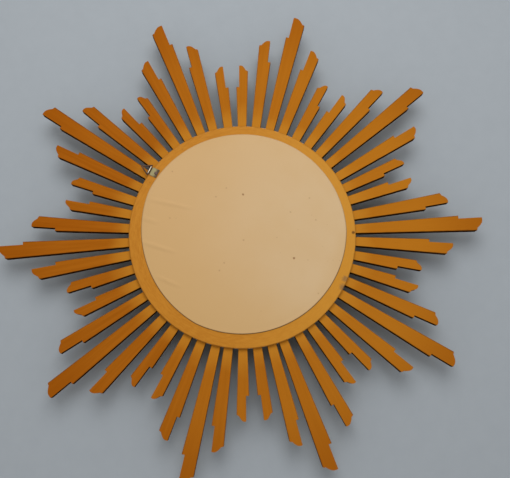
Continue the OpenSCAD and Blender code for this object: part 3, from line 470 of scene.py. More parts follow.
@dataclass(frozen=True)
class GiltRingPaint(Finish):
    """Bronze-gold paint on the turned rings, brushed round, with a few old blemishes."""

    warm: Colour = (0.530, 0.214, 0.0225)
    deep: Colour = (0.455, 0.170, 0.0150)
    golden: Colour = (0.590, 0.270, 0.0320)
    edge: Colour = (0.120, 0.045, 0.0120)
    stain: Colour = (0.190, 0.115, 0.0600)
    chip: Colour = (0.700, 0.520, 0.2800)
    leaf: Colour = (0.680, 0.410, 0.1150)
    bole: Colour = (0.230, 0.065, 0.0250)
    back_y: float = -0.0020
    ring_r: float = 0.152
    depth: float = 0.0001
    stain_spots: tuple[tuple[Point, float], ...] = (((-18.5, -149.5), 6.5), ((-29.5, -146.0), 6.0))
    dark_spot: tuple[Point, float] = ((-88.0, -120.0), 2.8)
    chip_spot: tuple[Point, float] = ((-53.0, 148.0), 2.4)

    def paint(self, shader: Shader) -> None:
        """Adds the paint's nodes.

        Args:
            shader: Nodes of the new material.
        """
        x, y, z = shader.place()
        _, toward, _ = shader.facing()
        reach = x.span(z)
        brushed = shader.vector(x / reach * 16.0, reach * 420.0 + y * 300.0, z / reach * 16.0)
        brush = shader.grain(brushed, 1.0, 4.0, 0.6)
        cloud = shader.grain(shader.vector(x, y, z), 16.0, 3.0)
        worn = shader.grain(shader.vector(x, y, z), 150.0, 3.0)

        body = shader.mix(brush.ease(0.30, 0.70), self.deep, self.warm)
        body = shader.mix(cloud.ease(0.35, 0.70) * 0.35, body, self.warm)
        right_side = place_along(PICTURE_RIGHT, x, z)
        body = shader.mix(right_side.ease(-0.05, 0.16) * 0.7, body, self.golden)
        outer = (reach + (worn - 0.5) * 0.0015).ease(self.ring_r - 0.0018, self.ring_r - 0.0004)
        body = shader.mix(outer * 0.25, body, self.edge)
        body = shader.mix(worn.ease(0.66, 0.76) * 0.30, body, self.edge)
        on_back = y.ease(self.back_y - 0.001, self.back_y)
        first, second = (spot(shader, x, z, *at, 0.8) for at in self.stain_spots)
        old = first.at_least(second)
        body = shader.mix(old * on_back * 0.65, body, self.stain)
        body = shader.mix(spot(shader, x, z, *self.dark_spot) * on_back * 0.85, body, self.edge)
        body = shader.mix(spot(shader, x, z, *self.chip_spot) * on_back * 0.80, body, self.chip)

        front = (-toward).ease(-0.2, 0.3) * (1 - on_back)
        rubbed = worn.ease(0.58, 0.74)
        gilt = shader.mix(brush.ease(0.3, 0.7) * 0.3, self.leaf, self.warm)
        gilt = shader.mix(rubbed * 0.55, gilt, self.bole)
        shader.coat(
            Base_Color=shader.mix(front, body, gilt),
            Roughness=worn * 0.18 + 0.36 + old * 0.2,
            Metallic=front * (1 - rubbed) * 0.70,
            Specular_IOR_Level=0.04,
            Normal=shader.relief(brush * 0.6 + worn * 0.4, self.depth),
        )


@dataclass(frozen=True)
class Softwood(Finish):
    """Raw wood of the hidden spacer ring."""

    pale: Colour = (0.420, 0.250, 0.115)
    dark: Colour = (0.230, 0.115, 0.045)
    depth: float = 0.0003

    def paint(self, shader: Shader) -> None:
        """Adds straight grain.

        Args:
            shader: Nodes of the new material.
        """
        x, y, z = shader.place()
        lines = shader.grain(shader.vector(x * 12.0, y * 260.0, z * 200.0), 1.0, 4.0, 0.6)
        shader.coat(
            Base_Color=shader.mix(lines.ease(0.35, 0.70), self.pale, self.dark),
            Roughness=lines * 0.2 + 0.62,
            Normal=shader.relief(lines, self.depth),
        )


@dataclass(frozen=True)
class FoxedPaper(Finish):
    """Old tan paper with foxing, a dark cut edge with a painted shadow line along its lower side,
    and fine fibres.
    """

    tan: Colour = (0.588, 0.370, 0.166)
    warm: Colour = (0.560, 0.345, 0.140)
    pale: Colour = (0.615, 0.440, 0.252)
    brown: Colour = (0.230, 0.105, 0.035)
    # Brown of the cut edge, also the painted shadow line along its lower side.
    edge: Colour = (0.135, 0.062, 0.022)
    cuts: tuple[tuple[Point, float], ...] = ()
    strong_spots: tuple[Point, ...] = ((-45.0, 31.0), (-13.0, -75.0))
    faint_spots: tuple[Point, ...] = (
        (-39.0, 55.0), (-15.0, 128.0), (39.0, 92.0), (46.0, -3.0), (58.0, -4.0), (6.0, -6.0),
        (-93.0, -45.0), (7.0, -128.0), (-21.0, 59.0), (-62.0, -35.0), (-73.0, -69.0),
    )
    strong_r: float = 2.0
    faint_r: float = 1.7
    dark_edge_and_shadow_w: Fade = (0.0004, 0.0014)
    glue_w: Fade = (0.002, 0.020)
    depth: float = 0.00008

    def paint(self, shader: Shader) -> None:
        """Adds the paper's nodes.

        Args:
            shader: Nodes of the new material.
        """
        x, y, z = shader.place()
        here = shader.vector(x, y, z)
        cloud = shader.grain(here, 11.0, 3.0)
        fibre = shader.grain(here, 900.0, 4.0, 0.7)
        speck = shader.cells(here, 95.0)
        low_side = place_along(PICTURE_DOWN, x, z)
        right_side = place_along(PICTURE_RIGHT, x, z)

        body = shader.mix(right_side.ease(-0.12, 0.10) * 0.9, self.tan, self.pale)
        body = shader.mix((-low_side).ease(0.02, 0.14) * 0.35, body, self.tan)
        body = shader.mix((low_side - right_side * 0.5).ease(-0.02, 0.17) * 0.8, body, self.warm)
        body = shader.mix(cloud.ease(0.35, 0.75) * 0.30, body, self.warm)
        body = shader.mix(fibre.ease(0.55, 0.80) * 0.16, body, self.pale)
        scatter = (1 - speck.ease(0.04, 0.10)) * cloud.ease(0.52, 0.62)
        body = shader.mix(scatter * 0.35, body, self.brown)
        for at in self.strong_spots:
            body = shader.mix(spot(shader, x, z, at, self.strong_r) * 0.80, body, self.brown)
        for at in self.faint_spots:
            body = shader.mix(spot(shader, x, z, at, self.faint_r, 0.9) * 0.38, body, self.brown)

        inside = None
        for (cut_x, cut_z), cut_r in self.cuts:
            right, up = x - cut_x, z - cut_z
            gap = cut_r - right.span(up)
            inside = gap if inside is None else inside.at_most(gap)
        rim = 1 - (inside + (fibre - 0.5) * 0.0006).ease(*self.dark_edge_and_shadow_w)
        glue = 1 - inside.ease(*self.glue_w)
        body = shader.mix(glue * cloud.ease(0.30, 0.65) * 0.22, body, self.warm)
        # The dark cut edge is faint all round and strong on the lower side, where it is a painted
        # shadow line.
        body = shader.mix(rim * (low_side.ease(-0.06, 0.05) * 0.75 + 0.15), body, self.edge)
        shader.coat(
            Base_Color=body,
            Roughness=fibre * 0.15 + 0.72,
            Specular_IOR_Level=0.25,
            Normal=shader.relief(fibre * 0.6 + cloud * 0.4, self.depth),
        )


class MetalGrain(Enum):
    """How a metal surface was worked."""

    TURNED = "turned"
    BRUSHED = "brushed"
    ROUGH = "rough"


@dataclass(frozen=True)
class WorkedMetal(Finish):
    """Metal with its tool marks and tarnish."""

    bright: Colour = (0.6, 0.6, 0.6)
    tarnish: Colour = (0.2, 0.2, 0.2)
    grain: MetalGrain = MetalGrain.BRUSHED
    rough: float = 0.3
    stained: float = 0.35
    metallic: float = 1.0
    depth: float = 0.00006

    def paint(self, shader: Shader) -> None:
        """Adds tool marks along the way the metal was worked.

        Args:
            shader: Nodes of the new material.
        """
        x, y, z = shader.place()
        here = shader.vector(x, y, z)
        cloud = shader.grain(here, 70.0, 3.0)
        pitted = shader.grain(here, 700.0, 3.0)
        if self.grain is MetalGrain.TURNED:
            reach = x.span(z)
            marks = shader.grain(shader.vector(reach * 2600.0, y * 2600.0, 0.0), 1.0, 2.0)
        elif self.grain is MetalGrain.BRUSHED:
            marks = shader.grain(shader.vector(x * 60.0, y * 900.0, z * 2400.0), 1.0, 3.0)
        else:
            marks = pitted
        dull = (cloud * 0.7 + pitted * 0.3).ease(0.42, 0.68) * self.stained
        shader.coat(
            Base_Color=shader.mix(dull, self.bright, self.tarnish),
            Roughness=marks * 0.14 + dull * 0.35 + (self.rough - 0.07),
            Metallic=self.metallic - dull * (0.6 * self.metallic),
            Normal=shader.relief(marks * 0.7 + pitted * 0.3, self.depth),
        )


@dataclass(frozen=True)
class AgedStrap(Finish):
    """Olive plating of the hanger strap, rusty around its nail, with a painted highlight on the
    curl and painted shade beside it.
    """

    plating: Colour = (0.315, 0.270, 0.118)
    # Rusty brown, also the painted shade beside the curl.
    rust_and_shade: Colour = (0.070, 0.036, 0.020)
    # Colour of the painted highlight on the curl.
    bright: Colour = (0.560, 0.480, 0.450)
    nail_z: float = 0.1447
    lean: float = math.radians(9.0)
    inner: float = -0.0032
    curl: float = 0.0092
    curl_r: float = 0.0010
    rust_w: Fade = (0.0015, 0.0062)
    corner_w: Fade = (0.0044, 0.0062)
    depth: float = 0.00008

    def paint(self, shader: Shader) -> None:
        """Adds the plating, the rusty inner end, and the curl's painted highlight with painted
        shade beside it.

        Args:
            shader: Nodes of the new material.
        """
        x, y, z = shader.place()
        here = shader.vector(x, y, z)
        cloud = shader.grain(here, 260.0, 3.0)
        pitted = shader.grain(here, 1400.0, 3.0)
        up = z - self.nail_z
        along = x * math.sin(self.lean) + up * math.cos(self.lean)
        across = x * math.cos(self.lean) - up * math.sin(self.lean)
        rust_and_shade_mask = 1 - (along - self.inner + (cloud - 0.5) * 0.005).ease(*self.rust_w)
        corner = (abs(across) + (cloud - 0.5) * 0.002).ease(*self.corner_w) * 0.6
        # The pale band on the curl is a painted highlight, and the dark bands beside it are painted
        # shade.
        off_curl = abs(along - self.curl)
        rubbed = 1 - off_curl.ease(self.curl_r * 0.10, self.curl_r * 0.42)
        shaded = off_curl.ease(self.curl_r * 0.3, self.curl_r * 0.8) * (
            1 - off_curl.ease(self.curl_r * 1.7, self.curl_r * 2.6)
        )
        # This mask joins the rusty end and corners with the painted shade beside the curl.
        rust_and_shade_mask = rust_and_shade_mask.at_least(corner).at_least(shaded)
        body = shader.mix(rust_and_shade_mask * 0.9, self.plating, self.rust_and_shade)
        shader.coat(
            Base_Color=shader.mix(rubbed, body, self.bright),
            Roughness=pitted * 0.2 + rust_and_shade_mask * 0.2 + 0.36 - rubbed * 0.14,
            Metallic=rubbed * 0.8,
            Specular_IOR_Level=0.25,
            Normal=shader.relief(pitted * 0.6 + rust_and_shade_mask * cloud, self.depth),
        )


@dataclass(frozen=True)
class IvoryEnamel(Finish):
    """Ivory dial with a printed minute track."""

    ivory: Colour = (0.830, 0.760, 0.580)
    aged: Colour = (0.700, 0.580, 0.370)
    ink: Colour = (0.030, 0.025, 0.022)
    track_in: float = 0.0868
    track_out: float = 0.0912
    track_soft: float = 0.0001
    fine_w: Fade = (0.00022, 0.00034)
    bold_w: Fade = (0.00062, 0.00078)
    circle_w: Fade = (0.00012, 0.00024)
    minutes: int = 60
    depth: float = 0.00003

    def paint(self, shader: Shader) -> None:
        """Adds the enamel, the two track circles and their minute marks.

        Args:
            shader: Nodes of the new material.
        """
        x, y, z = shader.place()
        _, toward, _ = shader.facing()
        here = shader.vector(x, y, z)
        cloud = shader.grain(here, 16.0, 3.0)
        fine = shader.grain(here, 600.0, 3.0)
        reach = x.span(z)
        turn = x.bearing(z) / (2 * math.pi)
        step = 2 * math.pi / self.minutes
        minute = abs((turn * self.minutes + 0.5).fraction() - 0.5) * step
        fifth = abs((turn * (self.minutes / 5) + 0.5).fraction() - 0.5) * (5 * step)
        within = reach.ease(self.track_in, self.track_in + self.track_soft) * (
            1 - reach.ease(self.track_out, self.track_out + self.track_soft)
        )
        fine_mark = 1 - (minute * reach).ease(*self.fine_w)
        bold_mark = 1 - (fifth * reach).ease(*self.bold_w)
        circle_in = 1 - abs(reach - self.track_in).ease(*self.circle_w)
        circle_out = 1 - abs(reach - self.track_out).ease(*self.circle_w)
        circles = circle_in.at_least(circle_out)
        print_mask = (fine_mark.at_least(bold_mark) * within).at_least(circles)
        print_mask = print_mask * (-toward).ease(0.4, 0.8)
        ageing = cloud.ease(0.40, 0.75) * 0.35 + reach.ease(0.060, 0.105) * 0.25
        body = shader.mix(ageing, self.ivory, self.aged)
        shader.coat(
            Base_Color=shader.mix(print_mask * (fine * 0.2 + 0.82), body, self.ink),
            Roughness=fine * 0.15 + 0.30,
            Normal=shader.relief(fine, self.depth),
        )


@dataclass(frozen=True)
class ClearGlass(Finish):
    """Thin domed glass with a trace of dust."""

    tint: Colour = (0.96, 0.98, 0.97)
    square_on: float = 0.035

    def paint(self, shader: Shader) -> None:
        """Adds a mirror that shows only as much as clear glass reflects, and dust.

        Args:
            shader: Nodes of the new material.
        """
        x, y, z = shader.place()
        dust = shader.grain(shader.vector(x, y, z), 240.0, 4.0, 0.7)
        slope = shader.out(shader.node("LayerWeight", None, {"Blend": 0.5}), "Facing")
        reflected = slope**5 * (1 - self.square_on) + self.square_on
        shader.coat(
            Base_Color=self.tint,
            Roughness=dust.ease(0.55, 0.85) * 0.06 + 0.01,
            Metallic=1.0,
            Alpha=reflected + dust.ease(0.60, 0.90) * 0.02,
        )


class SubAssembly:
    """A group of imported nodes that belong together."""

    angle_limit_deg: float = 35.0
    merge_distance: float = 2e-6
    edge_segments: int = 2

    def dress(self, finish: Finish, nodes: list[str], edge: float = 0.0) -> None:
        """Gives nodes one finish, and eased edges where asked.

        Args:
            finish: The finish that they share.
            nodes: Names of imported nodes.
            edge: Width of the eased edges in metres, or 0 for none.
        """
        material = finish.material()
        for name in nodes:
            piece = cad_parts[name]
            piece.data.materials.clear()
            piece.data.materials.append(material)
            if edge > 0:
                self.ease_edges(piece, edge)
            LOG.info("%s wears %s", name, finish.name)

    def ease_edges(self, piece: bpy.types.Object, edge: float) -> None:
        """Rounds a piece's sharp edges with modifiers.

        Args:
            piece: The piece.
            edge: Width of the rounding in metres.
        """
        weld = piece.modifiers.new("join_faces", "WELD")
        weld.merge_threshold = self.merge_distance
        bevel = piece.modifiers.new("eased_edge", "BEVEL")
        bevel.width = edge
        bevel.segments = self.edge_segments
        bevel.limit_method = "ANGLE"
        bevel.angle_limit = math.radians(self.angle_limit_deg)
        even = piece.modifiers.new("even_shading", "WEIGHTED_NORMAL")
        even.keep_sharp = True


@dataclass
class RayBurst(SubAssembly):
    """Fifty painted sticks in ten clusters."""

    clusters: int = 10
    edge: float = 0.0006
    paint: Finish = field(default_factory=lambda: GiltRayPaint("gilt_ray_paint"))

    def build(self) -> None:
        """Dresses the ten clusters."""
        names = [f"ray_cluster_{i + 1}" for i in range(self.clusters)]
        self.dress(self.paint, names, self.edge)


@dataclass
class WoodenRings(SubAssembly):
    """The painted rings, the raw spacer between them and their screws."""

    edge: float = 0.0005

    def build(self) -> None:
        """Dresses the rings and the screws that hold them."""
        self.dress(GiltRingPaint("gilt_ring_paint"), ["back_ring", "front_ring"], self.edge)
        self.dress(Softwood("raw_softwood"), ["hub_ring"])
        steel = WorkedMetal(
            "wood_screw_steel", (0.42, 0.42, 0.40), (0.16, 0.14, 0.12), MetalGrain.ROUGH, rough=0.38
        )
        self.dress(steel, ["ring_screws"])


@dataclass
class PaperCover:
    """Hand-cut paper glued on the back ring, with puckers and a lifted lower edge."""

    cuts: tuple[tuple[Point, float], ...] = (
        ((0.0, 0.0), 0.1400),
        (polar(0.016, 199.6), 0.1488),
        (polar(0.007, 139.6), 0.1405),
    )
    thickness: float = 0.0004
    bore_r: float = 0.118
    sag: float = 0.0007
    ripple: float = 0.00022
    lift: float = 0.0006
    lift_w: float = 0.006
    ragged: float = 0.0003
    puckers: tuple[tuple[Point, Point, float], ...] = (
        ((0.034, 0.130), (0.011, 0.076), 0.0010),
        ((0.060, 0.122), (0.053, 0.100), 0.0009),
        ((0.087, 0.104), (0.072, 0.058), 0.0011),
        ((0.112, 0.057), (0.105, 0.025), 0.0010),
    )
    pucker_w: float = 0.0020
    pucker_top: float = 0.9
    pucker_fade: float = 1.6
    edge_wobble: float = 9.0
    face_waves: float = 22.0
    lift_waves: float = 60.0
    rings: int = 72
    spokes: int = 360

    def outline(self, bearing: float) -> float:
        """Distance from the axis to the cut edge.

        Args:
            bearing: Direction from the axis, counted from +X towards +Z.

        Returns:
            The distance in metres.
        """
        along_x, along_z = math.cos(bearing), math.sin(bearing)
        reach = []
        for (cut_x, cut_z), cut_r in self.cuts:
            inward = cut_x * along_x + cut_z * along_z
            reach.append(inward + math.sqrt(cut_r**2 - cut_x**2 - cut_z**2 + inward**2))
        wobble = noise.noise(Vector((along_x * self.edge_wobble, along_z * self.edge_wobble, 0.3)))
        return min(reach) - self.ragged * (0.5 + 0.5 * wobble)

    def pucker_height(self, x: float, z: float) -> float:
        """Height that the puckers add at a place.

        Args:
            x: Place across the clock.
            z: Place up the clock.

        Returns:
            The height in metres.
        """
        total = 0.0
        for start, end, height in self.puckers:
            from_x, from_z = x - start[0], z - start[1]
            run_x, run_z = end[0] - start[0], end[1] - start[1]
            length = math.hypot(run_x, run_z)
            share = (from_x * run_x + from_z * run_z) / length**2
            aside = (from_x * run_z - from_z * run_x) / length
            fade = max(0.0, 1 - abs(2 * share - self.pucker_top) ** 2 / self.pucker_fade)
            total += height * fade * math.exp(-((aside / self.pucker_w) ** 2))
        return total

    def surface(self, x: float, z: float, from_edge: float) -> float:
        """Height of the paper's outer face.

        Args:
            x: Place across the clock.
            z: Place up the clock.
            from_edge: Distance to the cut edge.

        Returns:
            The face's place along +Y in metres.
        """
        reach = math.hypot(x, z)
        slack = max(0.0, 1 - (reach / self.bore_r) ** 2)
        waves = noise.noise(Vector((x * self.face_waves, z * self.face_waves, 1.7)))
        height = -self.sag * slack + self.ripple * waves * min(1.0, 3 * slack)
        low_side = max(0.0, place_along(PICTURE_DOWN, x, z) / max(reach, 1e-6))
        curl = max(0.0, 1 - from_edge / self.lift_w) ** 2
        waver = 0.6 + 0.4 * noise.noise(Vector((x * self.lift_waves, z * self.lift_waves, 5.1)))
        return height + self.pucker_height(x, z) + self.lift * curl * low_side * waver

    def build(self) -> bpy.types.Object:
        """Makes the sheet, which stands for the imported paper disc.

        Returns:
            The paper's object.
        """
        vertices: list[tuple[float, float, float]] = []
        for face in (0.0, -self.thickness):
            vertices.append((0.0, self.surface(0.0, 0.0, self.bore_r) + face, 0.0))
            for ring in range(1, self.rings + 1):
                for spoke in range(self.spokes):
                    bearing = 2 * math.pi * spoke / self.spokes
                    edge = self.outline(bearing)
                    reach = edge * ring / self.rings
                    x, z = reach * math.cos(bearing), reach * math.sin(bearing)
                    vertices.append((x, self.surface(x, z, edge - reach) + face, z))
        half = 1 + self.rings * self.spokes
        faces: list[tuple[int, ...]] = []
        for spoke in range(self.spokes):
            after = (spoke + 1) % self.spokes
            faces.append((0, 1 + after, 1 + spoke))
            faces.append((half, half + 1 + spoke, half + 1 + after))
            for ring in range(self.rings - 1):
                row = 1 + ring * self.spokes
                inner, outer = row, row + self.spokes
                faces.append((inner + spoke, inner + after, outer + after, outer + spoke))
                inner, outer = inner + half, outer + half
                faces.append((inner + spoke, outer + spoke, outer + after, inner + after))
            rim = 1 + (self.rings - 1) * self.spokes
            faces.append((rim + spoke, rim + after, half + rim + after, half + rim + spoke))
        mesh = bpy.data.meshes.new("paper_sheet")
        mesh.from_pydata(vertices, [], faces)
        mesh.shade_smooth()
        mesh.update()
        sheet = add_object("paper_sheet", mesh)
        mesh.materials.append(FoxedPaper("foxed_paper", cuts=self.cuts).material())
        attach(sheet, "case")
        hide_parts("paper_cover")
        LOG.info("paper_sheet stands for paper_cover")
        return sheet


@dataclass
class Hanger(SubAssembly):
    """Strap, wire loop and nail at the top of the back."""

    strap_edge: float = 0.00015
    nail_edge: float = 0.0002

    def build(self) -> None:
        """Dresses the three pieces of the hanger."""
        wire = WorkedMetal(
            "browned_wire", (0.120, 0.056, 0.024), (0.035, 0.014, 0.007), MetalGrain.ROUGH,
            rough=0.40, stained=0.9, metallic=0.5, depth=0.0001,
        )
        nail = WorkedMetal(
            "rusted_nail", (0.14, 0.085, 0.075), (0.07, 0.030, 0.022), MetalGrain.ROUGH,
            rough=0.62, stained=0.9, metallic=0.5, depth=0.0002,
        )
        self.dress(AgedStrap("aged_strap"), ["hanger_strap"], self.strap_edge)
        self.dress(wire, ["hanger_loop"])
        self.dress(nail, ["hanger_nail"], self.nail_edge)


@dataclass
class DialAndHands(SubAssembly):
    """Dial, batons, hands and what is let into the dial."""

    edge: float = 0.00012

    def build(self) -> None:
        """Dresses the dial and all that stands on it."""
        brass = WorkedMetal(
            "polished_trim", (0.70, 0.47, 0.17), (0.30, 0.16, 0.05), MetalGrain.BRUSHED,
            rough=0.22, stained=0.3,
        )
        lacquer = WorkedMetal(
            "black_lacquer", (0.018, 0.016, 0.016), (0.05, 0.04, 0.035), MetalGrain.ROUGH,
            rough=0.30, stained=0.3, metallic=0.0, depth=0.00003,
        )
        self.dress(IvoryEnamel("ivory_enamel"), ["dial_plate"])
        self.dress(brass, ["hour_batons", "dial_screws", "winding_grommet", "hand_nut"], self.edge)
        self.dress(lacquer, ["minute_hand", "hour_hand"], self.edge)


@dataclass
class BezelDoor(SubAssembly):
    """Hinged bezel with its glass, and the hinge."""

    glass_r: float = 0.0995
    glass_t: float = 0.0020
    glass_rise: float = 0.0070
    glass_rim_y: float = -0.0345
    glass_edge: float = 0.0002
    hinge_edge: float = 0.00015
    rings: int = 24
    spokes: int = 128

    def build(self) -> None:
        """Dresses the door and the hinge, and makes the glass."""
        brass = WorkedMetal(
            "turned_bezel_brass", (0.72, 0.47, 0.16), (0.40, 0.22, 0.07), MetalGrain.TURNED,
            rough=0.22, stained=0.16,
        )
        hinge = WorkedMetal(
            "hinge_brass", (0.62, 0.41, 0.15), (0.26, 0.14, 0.05), MetalGrain.BRUSHED,
            rough=0.30, stained=0.45,
        )
        pin = WorkedMetal(
            "hinge_pin_steel", (0.55, 0.55, 0.55), (0.20, 0.18, 0.16), MetalGrain.TURNED, rough=0.26
        )
        self.dress(brass, ["bezel", "glass_retainer"])
        self.dress(hinge, ["hinge_leaf", "hinge_screws"], self.hinge_edge)
        self.dress(pin, ["hinge_pin"])
        self.make_glass()

    def make_glass(self) -> bpy.types.Object:
        """Makes the dome with one even curve on each face.

        Returns:
            The glass's object.
        """
        dome_r = (self.glass_r**2 + self.glass_rise**2) / (2 * self.glass_rise)
        middle_y = self.glass_rim_y - self.glass_rise + dome_r
        turned = bmesh.new()
        rows: list[list[bmesh.types.BMVert]] = []
        for face in (0.0, self.glass_t):
            for ring in range(self.rings + 1):
                step = ring if face == 0.0 else self.rings - ring
                reach = self.glass_r * step / self.rings
                y = middle_y - face - math.sqrt(dome_r**2 - reach**2)
                count = self.spokes if step else 1
                turns = [2 * math.pi * i / self.spokes for i in range(count)]
                rows.append(
                    [turned.verts.new((reach * math.cos(a), y, reach * math.sin(a))) for a in turns]
                )
        for near, far in zip(rows, rows[1:]):
            for i in range(self.spokes):
                after = (i + 1) % self.spokes
                loop = [near[i % len(near)], near[after % len(near)]]
                loop += [far[after % len(far)], far[i % len(far)]]
                turned.faces.new(list(dict.fromkeys(loop)))
        bmesh.ops.recalc_face_normals(turned, faces=turned.faces)
        mesh = bpy.data.meshes.new("domed_glass")
        turned.to_mesh(mesh)
        turned.free()
        mesh.shade_smooth()
        glass = add_object("domed_glass", mesh)
        mesh.materials.append(ClearGlass("clear_glass").material())
        self.ease_edges(glass, self.glass_edge)
        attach(glass, "door")
        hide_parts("glass")
        LOG.info("domed_glass stands for glass")
        return glass


@dataclass
class Movement(SubAssembly):
    """Plates, wheels, arbors and springs behind the dial."""

    brass_nodes: tuple[str, ...] = (
        "back_plate", "front_plate", "plate_pillars", "dial_posts", "barrel", "barrel_cover",
        "centre_wheel", "third_wheel", "fourth_wheel", "escape_wheel", "balance_wheel",
        "minute_wheel", "hour_wheel",
    )
    steel_nodes: tuple[str, ...] = (
        "pillar_nuts", "barrel_arbor", "ratchet_wheel", "click", "click_screw", "centre_arbor",
        "third_arbor", "fourth_arbor", "escape_arbor", "pallet_lever", "balance_staff",
        "cannon_pinion", "minute_stud",
    )
    spring_nodes: tuple[str, ...] = ("mainspring", "click_spring", "hairspring")
    leaf_foot: Point = (-17.2, -13.5)
    leaf_tip: Point = (-6.6, -12.8)
    leaf_cuts: int = 12

    def build(self) -> None:
        """Dresses the movement's brass, steel and blued springs."""
        brass = WorkedMetal(
            "brushed_movement_brass", (0.66, 0.45, 0.17), (0.30, 0.17, 0.06), MetalGrain.BRUSHED,
            rough=0.30,
        )
        steel = WorkedMetal(
            "turned_steel", (0.52, 0.52, 0.53), (0.22, 0.20, 0.18), MetalGrain.TURNED, rough=0.26
        )
        blued = WorkedMetal(
            "blued_spring_steel", (0.05, 0.075, 0.17), (0.10, 0.07, 0.06), MetalGrain.BRUSHED,
            rough=0.28,
        )
        self.dress(brass, list(self.brass_nodes))
        self.dress(steel, list(self.steel_nodes))
        self.dress(blued, list(self.spring_nodes))
        self.make_leaf_spring()

    def make_leaf_spring(self) -> bpy.types.Object:
        """Makes the click's leaf spring, cut across into short lengths.

        Returns:
            The spring's object.
        """
        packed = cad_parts["click_spring"]
        foot = Vector((self.leaf_foot[0], 0.0, self.leaf_foot[1])) * MM
        tip = Vector((self.leaf_tip[0], 0.0, self.leaf_tip[1])) * MM
        blade = bmesh.new()
        blade.from_mesh(packed.data)
        bmesh.ops.remove_doubles(blade, verts=blade.verts, dist=self.merge_distance)
        for cut in range(self.leaf_cuts):
            shape = blade.verts[:] + blade.edges[:] + blade.faces[:]
            at = foot.lerp(tip, cut / self.leaf_cuts)
            bmesh.ops.bisect_plane(blade, geom=shape, plane_co=at, plane_no=tip - foot)
        mesh = bpy.data.meshes.new("leaf_click_spring")
        blade.to_mesh(mesh)
        blade.free()
        mesh.materials.append(packed.data.materials[0])
        leaf = add_object("leaf_click_spring", mesh)
        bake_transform(leaf)
        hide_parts("click_spring")
        LOG.info("leaf_click_spring stands for click_spring")
        return leaf


@dataclass
class PhotoView:
    """Camera that looks down on the back as the clock lies on its face."""

    focal_px: float = 718.3
    tilt_deg: float = -11.28
    swing_deg: float = 0.69
    spin_deg: float = 54.61
    unit: float = 0.145
    offset: tuple[float, float, float] = (-0.11615, 0.03868, -6.67)
    ray_back_y: float = -0.0064
    clip: tuple[float, float] = (0.01, 50.0)

    def axes(self) -> Matrix:
        """Picture axes on the clock's back.

        Returns:
            A matrix whose columns are picture right, picture up and out of the back.
        """
        spin = math.radians(self.spin_deg)
        right = Vector((-math.cos(spin), 0.0, -math.sin(spin)))
        up = Vector((-math.sin(spin), 0.0, math.cos(spin)))
        return Matrix((right, up, Vector((0.0, 1.0, 0.0)))).transposed()

    def build(self) -> bpy.types.Object:
        """Makes the scene's camera.

        Returns:
            The camera's object.
        """
        tilt = Matrix.Rotation(math.radians(self.tilt_deg), 3, "X")
        swing = Matrix.Rotation(math.radians(self.swing_deg), 3, "Y")
        turn = tilt @ swing
        axes = self.axes()
        eye = axes @ (turn.transposed() @ Vector(self.offset)) * -self.unit
        eye += Vector((0.0, self.ray_back_y, 0.0))
        data = bpy.data.cameras.new("photo_view")
        data.sensor_fit = "HORIZONTAL"
        data.sensor_width = SENSOR_WIDTH_MM
        data.lens = self.focal_px / IMAGE_WIDTH_PX * SENSOR_WIDTH_MM
        data.clip_start, data.clip_end = self.clip
        camera = add_object("photo_view", data)
        camera.matrix_world = Matrix.Translation(eye) @ (axes @ turn.transposed()).to_4x4()
        bpy.context.scene.camera = camera
        LOG.info("photo_view looks from %s", tuple(round(v, 3) for v in eye))
        return camera


@dataclass(frozen=True)
class Lamp:
    """Round soft lamp that points at the clock."""

    name: str
    at: tuple[float, float, float]
    watts: float
    size: float

    def build(self) -> bpy.types.Object:
        """Makes the lamp.

        Returns:
            The lamp's object.
        """
        data = bpy.data.lights.new(self.name, "AREA")
        data.shape = "DISK"
        data.energy = self.watts
        data.size = self.size
        lamp = add_object(self.name, data)
        lamp.location = self.at
        lamp.rotation_euler = (-Vector(self.at)).to_track_quat("-Z", "Y").to_euler()
        return lamp


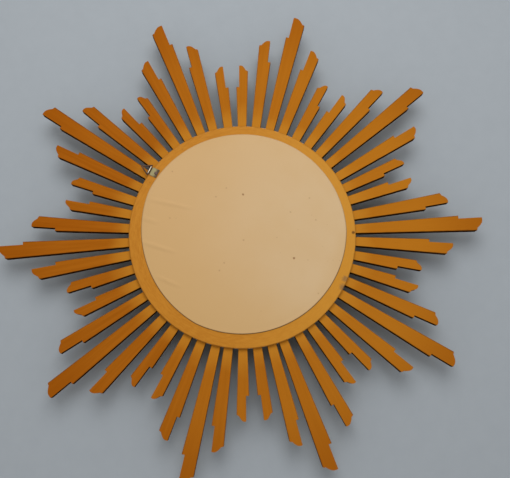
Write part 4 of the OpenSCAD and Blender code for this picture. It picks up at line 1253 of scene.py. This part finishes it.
@dataclass
class Studio:
    """Pale floor that the clock lies on, soft lamps and a pale surround."""

    floor_y: float = -0.0437
    floor_half: float = 6.0
    floor_colour: Colour = (0.345, 0.375, 0.402)
    floor_fleck: Colour = (0.430, 0.462, 0.490)
    fleck_scale: float = 60.0
    fleck_share: float = 0.30
    horizon: float = 0.12
    surround: Colour = (0.600, 0.632, 0.655)
    light: Colour = (1.0, 1.0, 1.0)
    ambient: float = 0.50
    ambient_front: float = 0.16
    back_lamp: Lamp = Lamp("back_lamp", (-0.505, 1.25, 0.359), 12.4, 1.2)
    front_lamp: Lamp = Lamp("front_lamp", (-1.90, -1.60, 1.30), 100.0, 2.4)

    def build(self) -> None:
        """Makes the floor, the lamps and the world."""
        self.make_floor()
        self.back_lamp.build()
        self.front_lamp.build()
        self.make_world()
        bpy.context.scene.view_settings.view_transform = "Standard"
        LOG.info("studio is lit")

    def make_floor(self) -> bpy.types.Object:
        """Makes the floor, which is clear from below and lets light reach the dial.

        Returns:
            The floor's object.
        """
        half, y = self.floor_half, self.floor_y
        mesh = bpy.data.meshes.new("pale_floor")
        corners = [(-half, y, -half), (-half, y, half), (half, y, half), (half, y, -half)]
        mesh.from_pydata(corners, [], [(0, 1, 2, 3)])
        material = bpy.data.materials.new("pale_floor")
        shader = Shader(material)
        x, y_at, z = shader.place()
        fleck = shader.grain(shader.vector(x, y_at, z), self.fleck_scale, 3.0)
        colour = shader.mix(fleck * self.fleck_share, self.floor_colour, self.floor_fleck)
        lit = shader.node(
            "BsdfPrincipled",
            None,
            {"Base Color": colour, "Roughness": 1.0, "Specular IOR Level": 0.0},
        )
        clear = shader.node("BsdfTransparent")
        below = shader.out(shader.node("NewGeometry"), "Backfacing")
        path = shader.node("LightPath")
        # Light on its way to the clock's front passes the floor; what the camera sees and later
        # bounces meet it.
        first = 1 - shader.out(path, "Ray Depth").ease(1.4, 1.6)
        light = first * (1 - shader.out(path, "Is Camera Ray"))
        chosen = shader.node(
            "MixShader", None, {0: below.at_least(light), 1: shader.out(lit), 2: shader.out(clear)}
        )
        shader.node("OutputMaterial", None, {"Surface": shader.out(chosen)})
        mesh.materials.append(material)
        floor = add_object("pale_floor", mesh)
        return floor

    def make_world(self) -> bpy.types.World:
        """Makes the surround: pale where it is seen, plain soft light elsewhere.

        Returns:
            The world.
        """
        world = bpy.data.worlds.new("pale_surround")
        shader = Shader(world)
        path = shader.node("LightPath")
        seen = shader.out(path, "Is Camera Ray").at_least(shader.out(path, "Is Glossy Ray"))
        seen = seen.at_least(shader.out(path, "Is Transmission Ray"))
        _, behind, _ = shader.axes("Generated")
        dim = {"Color": self.light, "Strength": self.ambient_front}
        full = {"Color": self.light, "Strength": self.ambient}
        ahead = shader.out(shader.node("Background", None, dim))
        above = shader.out(shader.node("Background", None, full))
        side = behind.ease(-self.horizon, self.horizon)
        light = shader.out(shader.node("MixShader", None, {0: side, 1: ahead, 2: above}))
        pale = shader.out(shader.node("Background", None, {"Color": self.surround}))
        chosen = shader.node("MixShader", None, {0: seen, 1: light, 2: pale})
        shader.node("OutputWorld", None, {"Surface": shader.out(chosen)})
        bpy.context.scene.world = world
        return world


def main() -> None:
    """Builds the clock's looks in order, then the studio."""
    logging.basicConfig(level=logging.INFO, format="%(message)s")
    PhotoView().build()
    RayBurst().build()
    WoodenRings().build()
    PaperCover().build()
    Hanger().build()
    DialAndHands().build()
    BezelDoor().build()
    Movement().build()
    Studio().build()


if __name__ == "__main__":
    main()
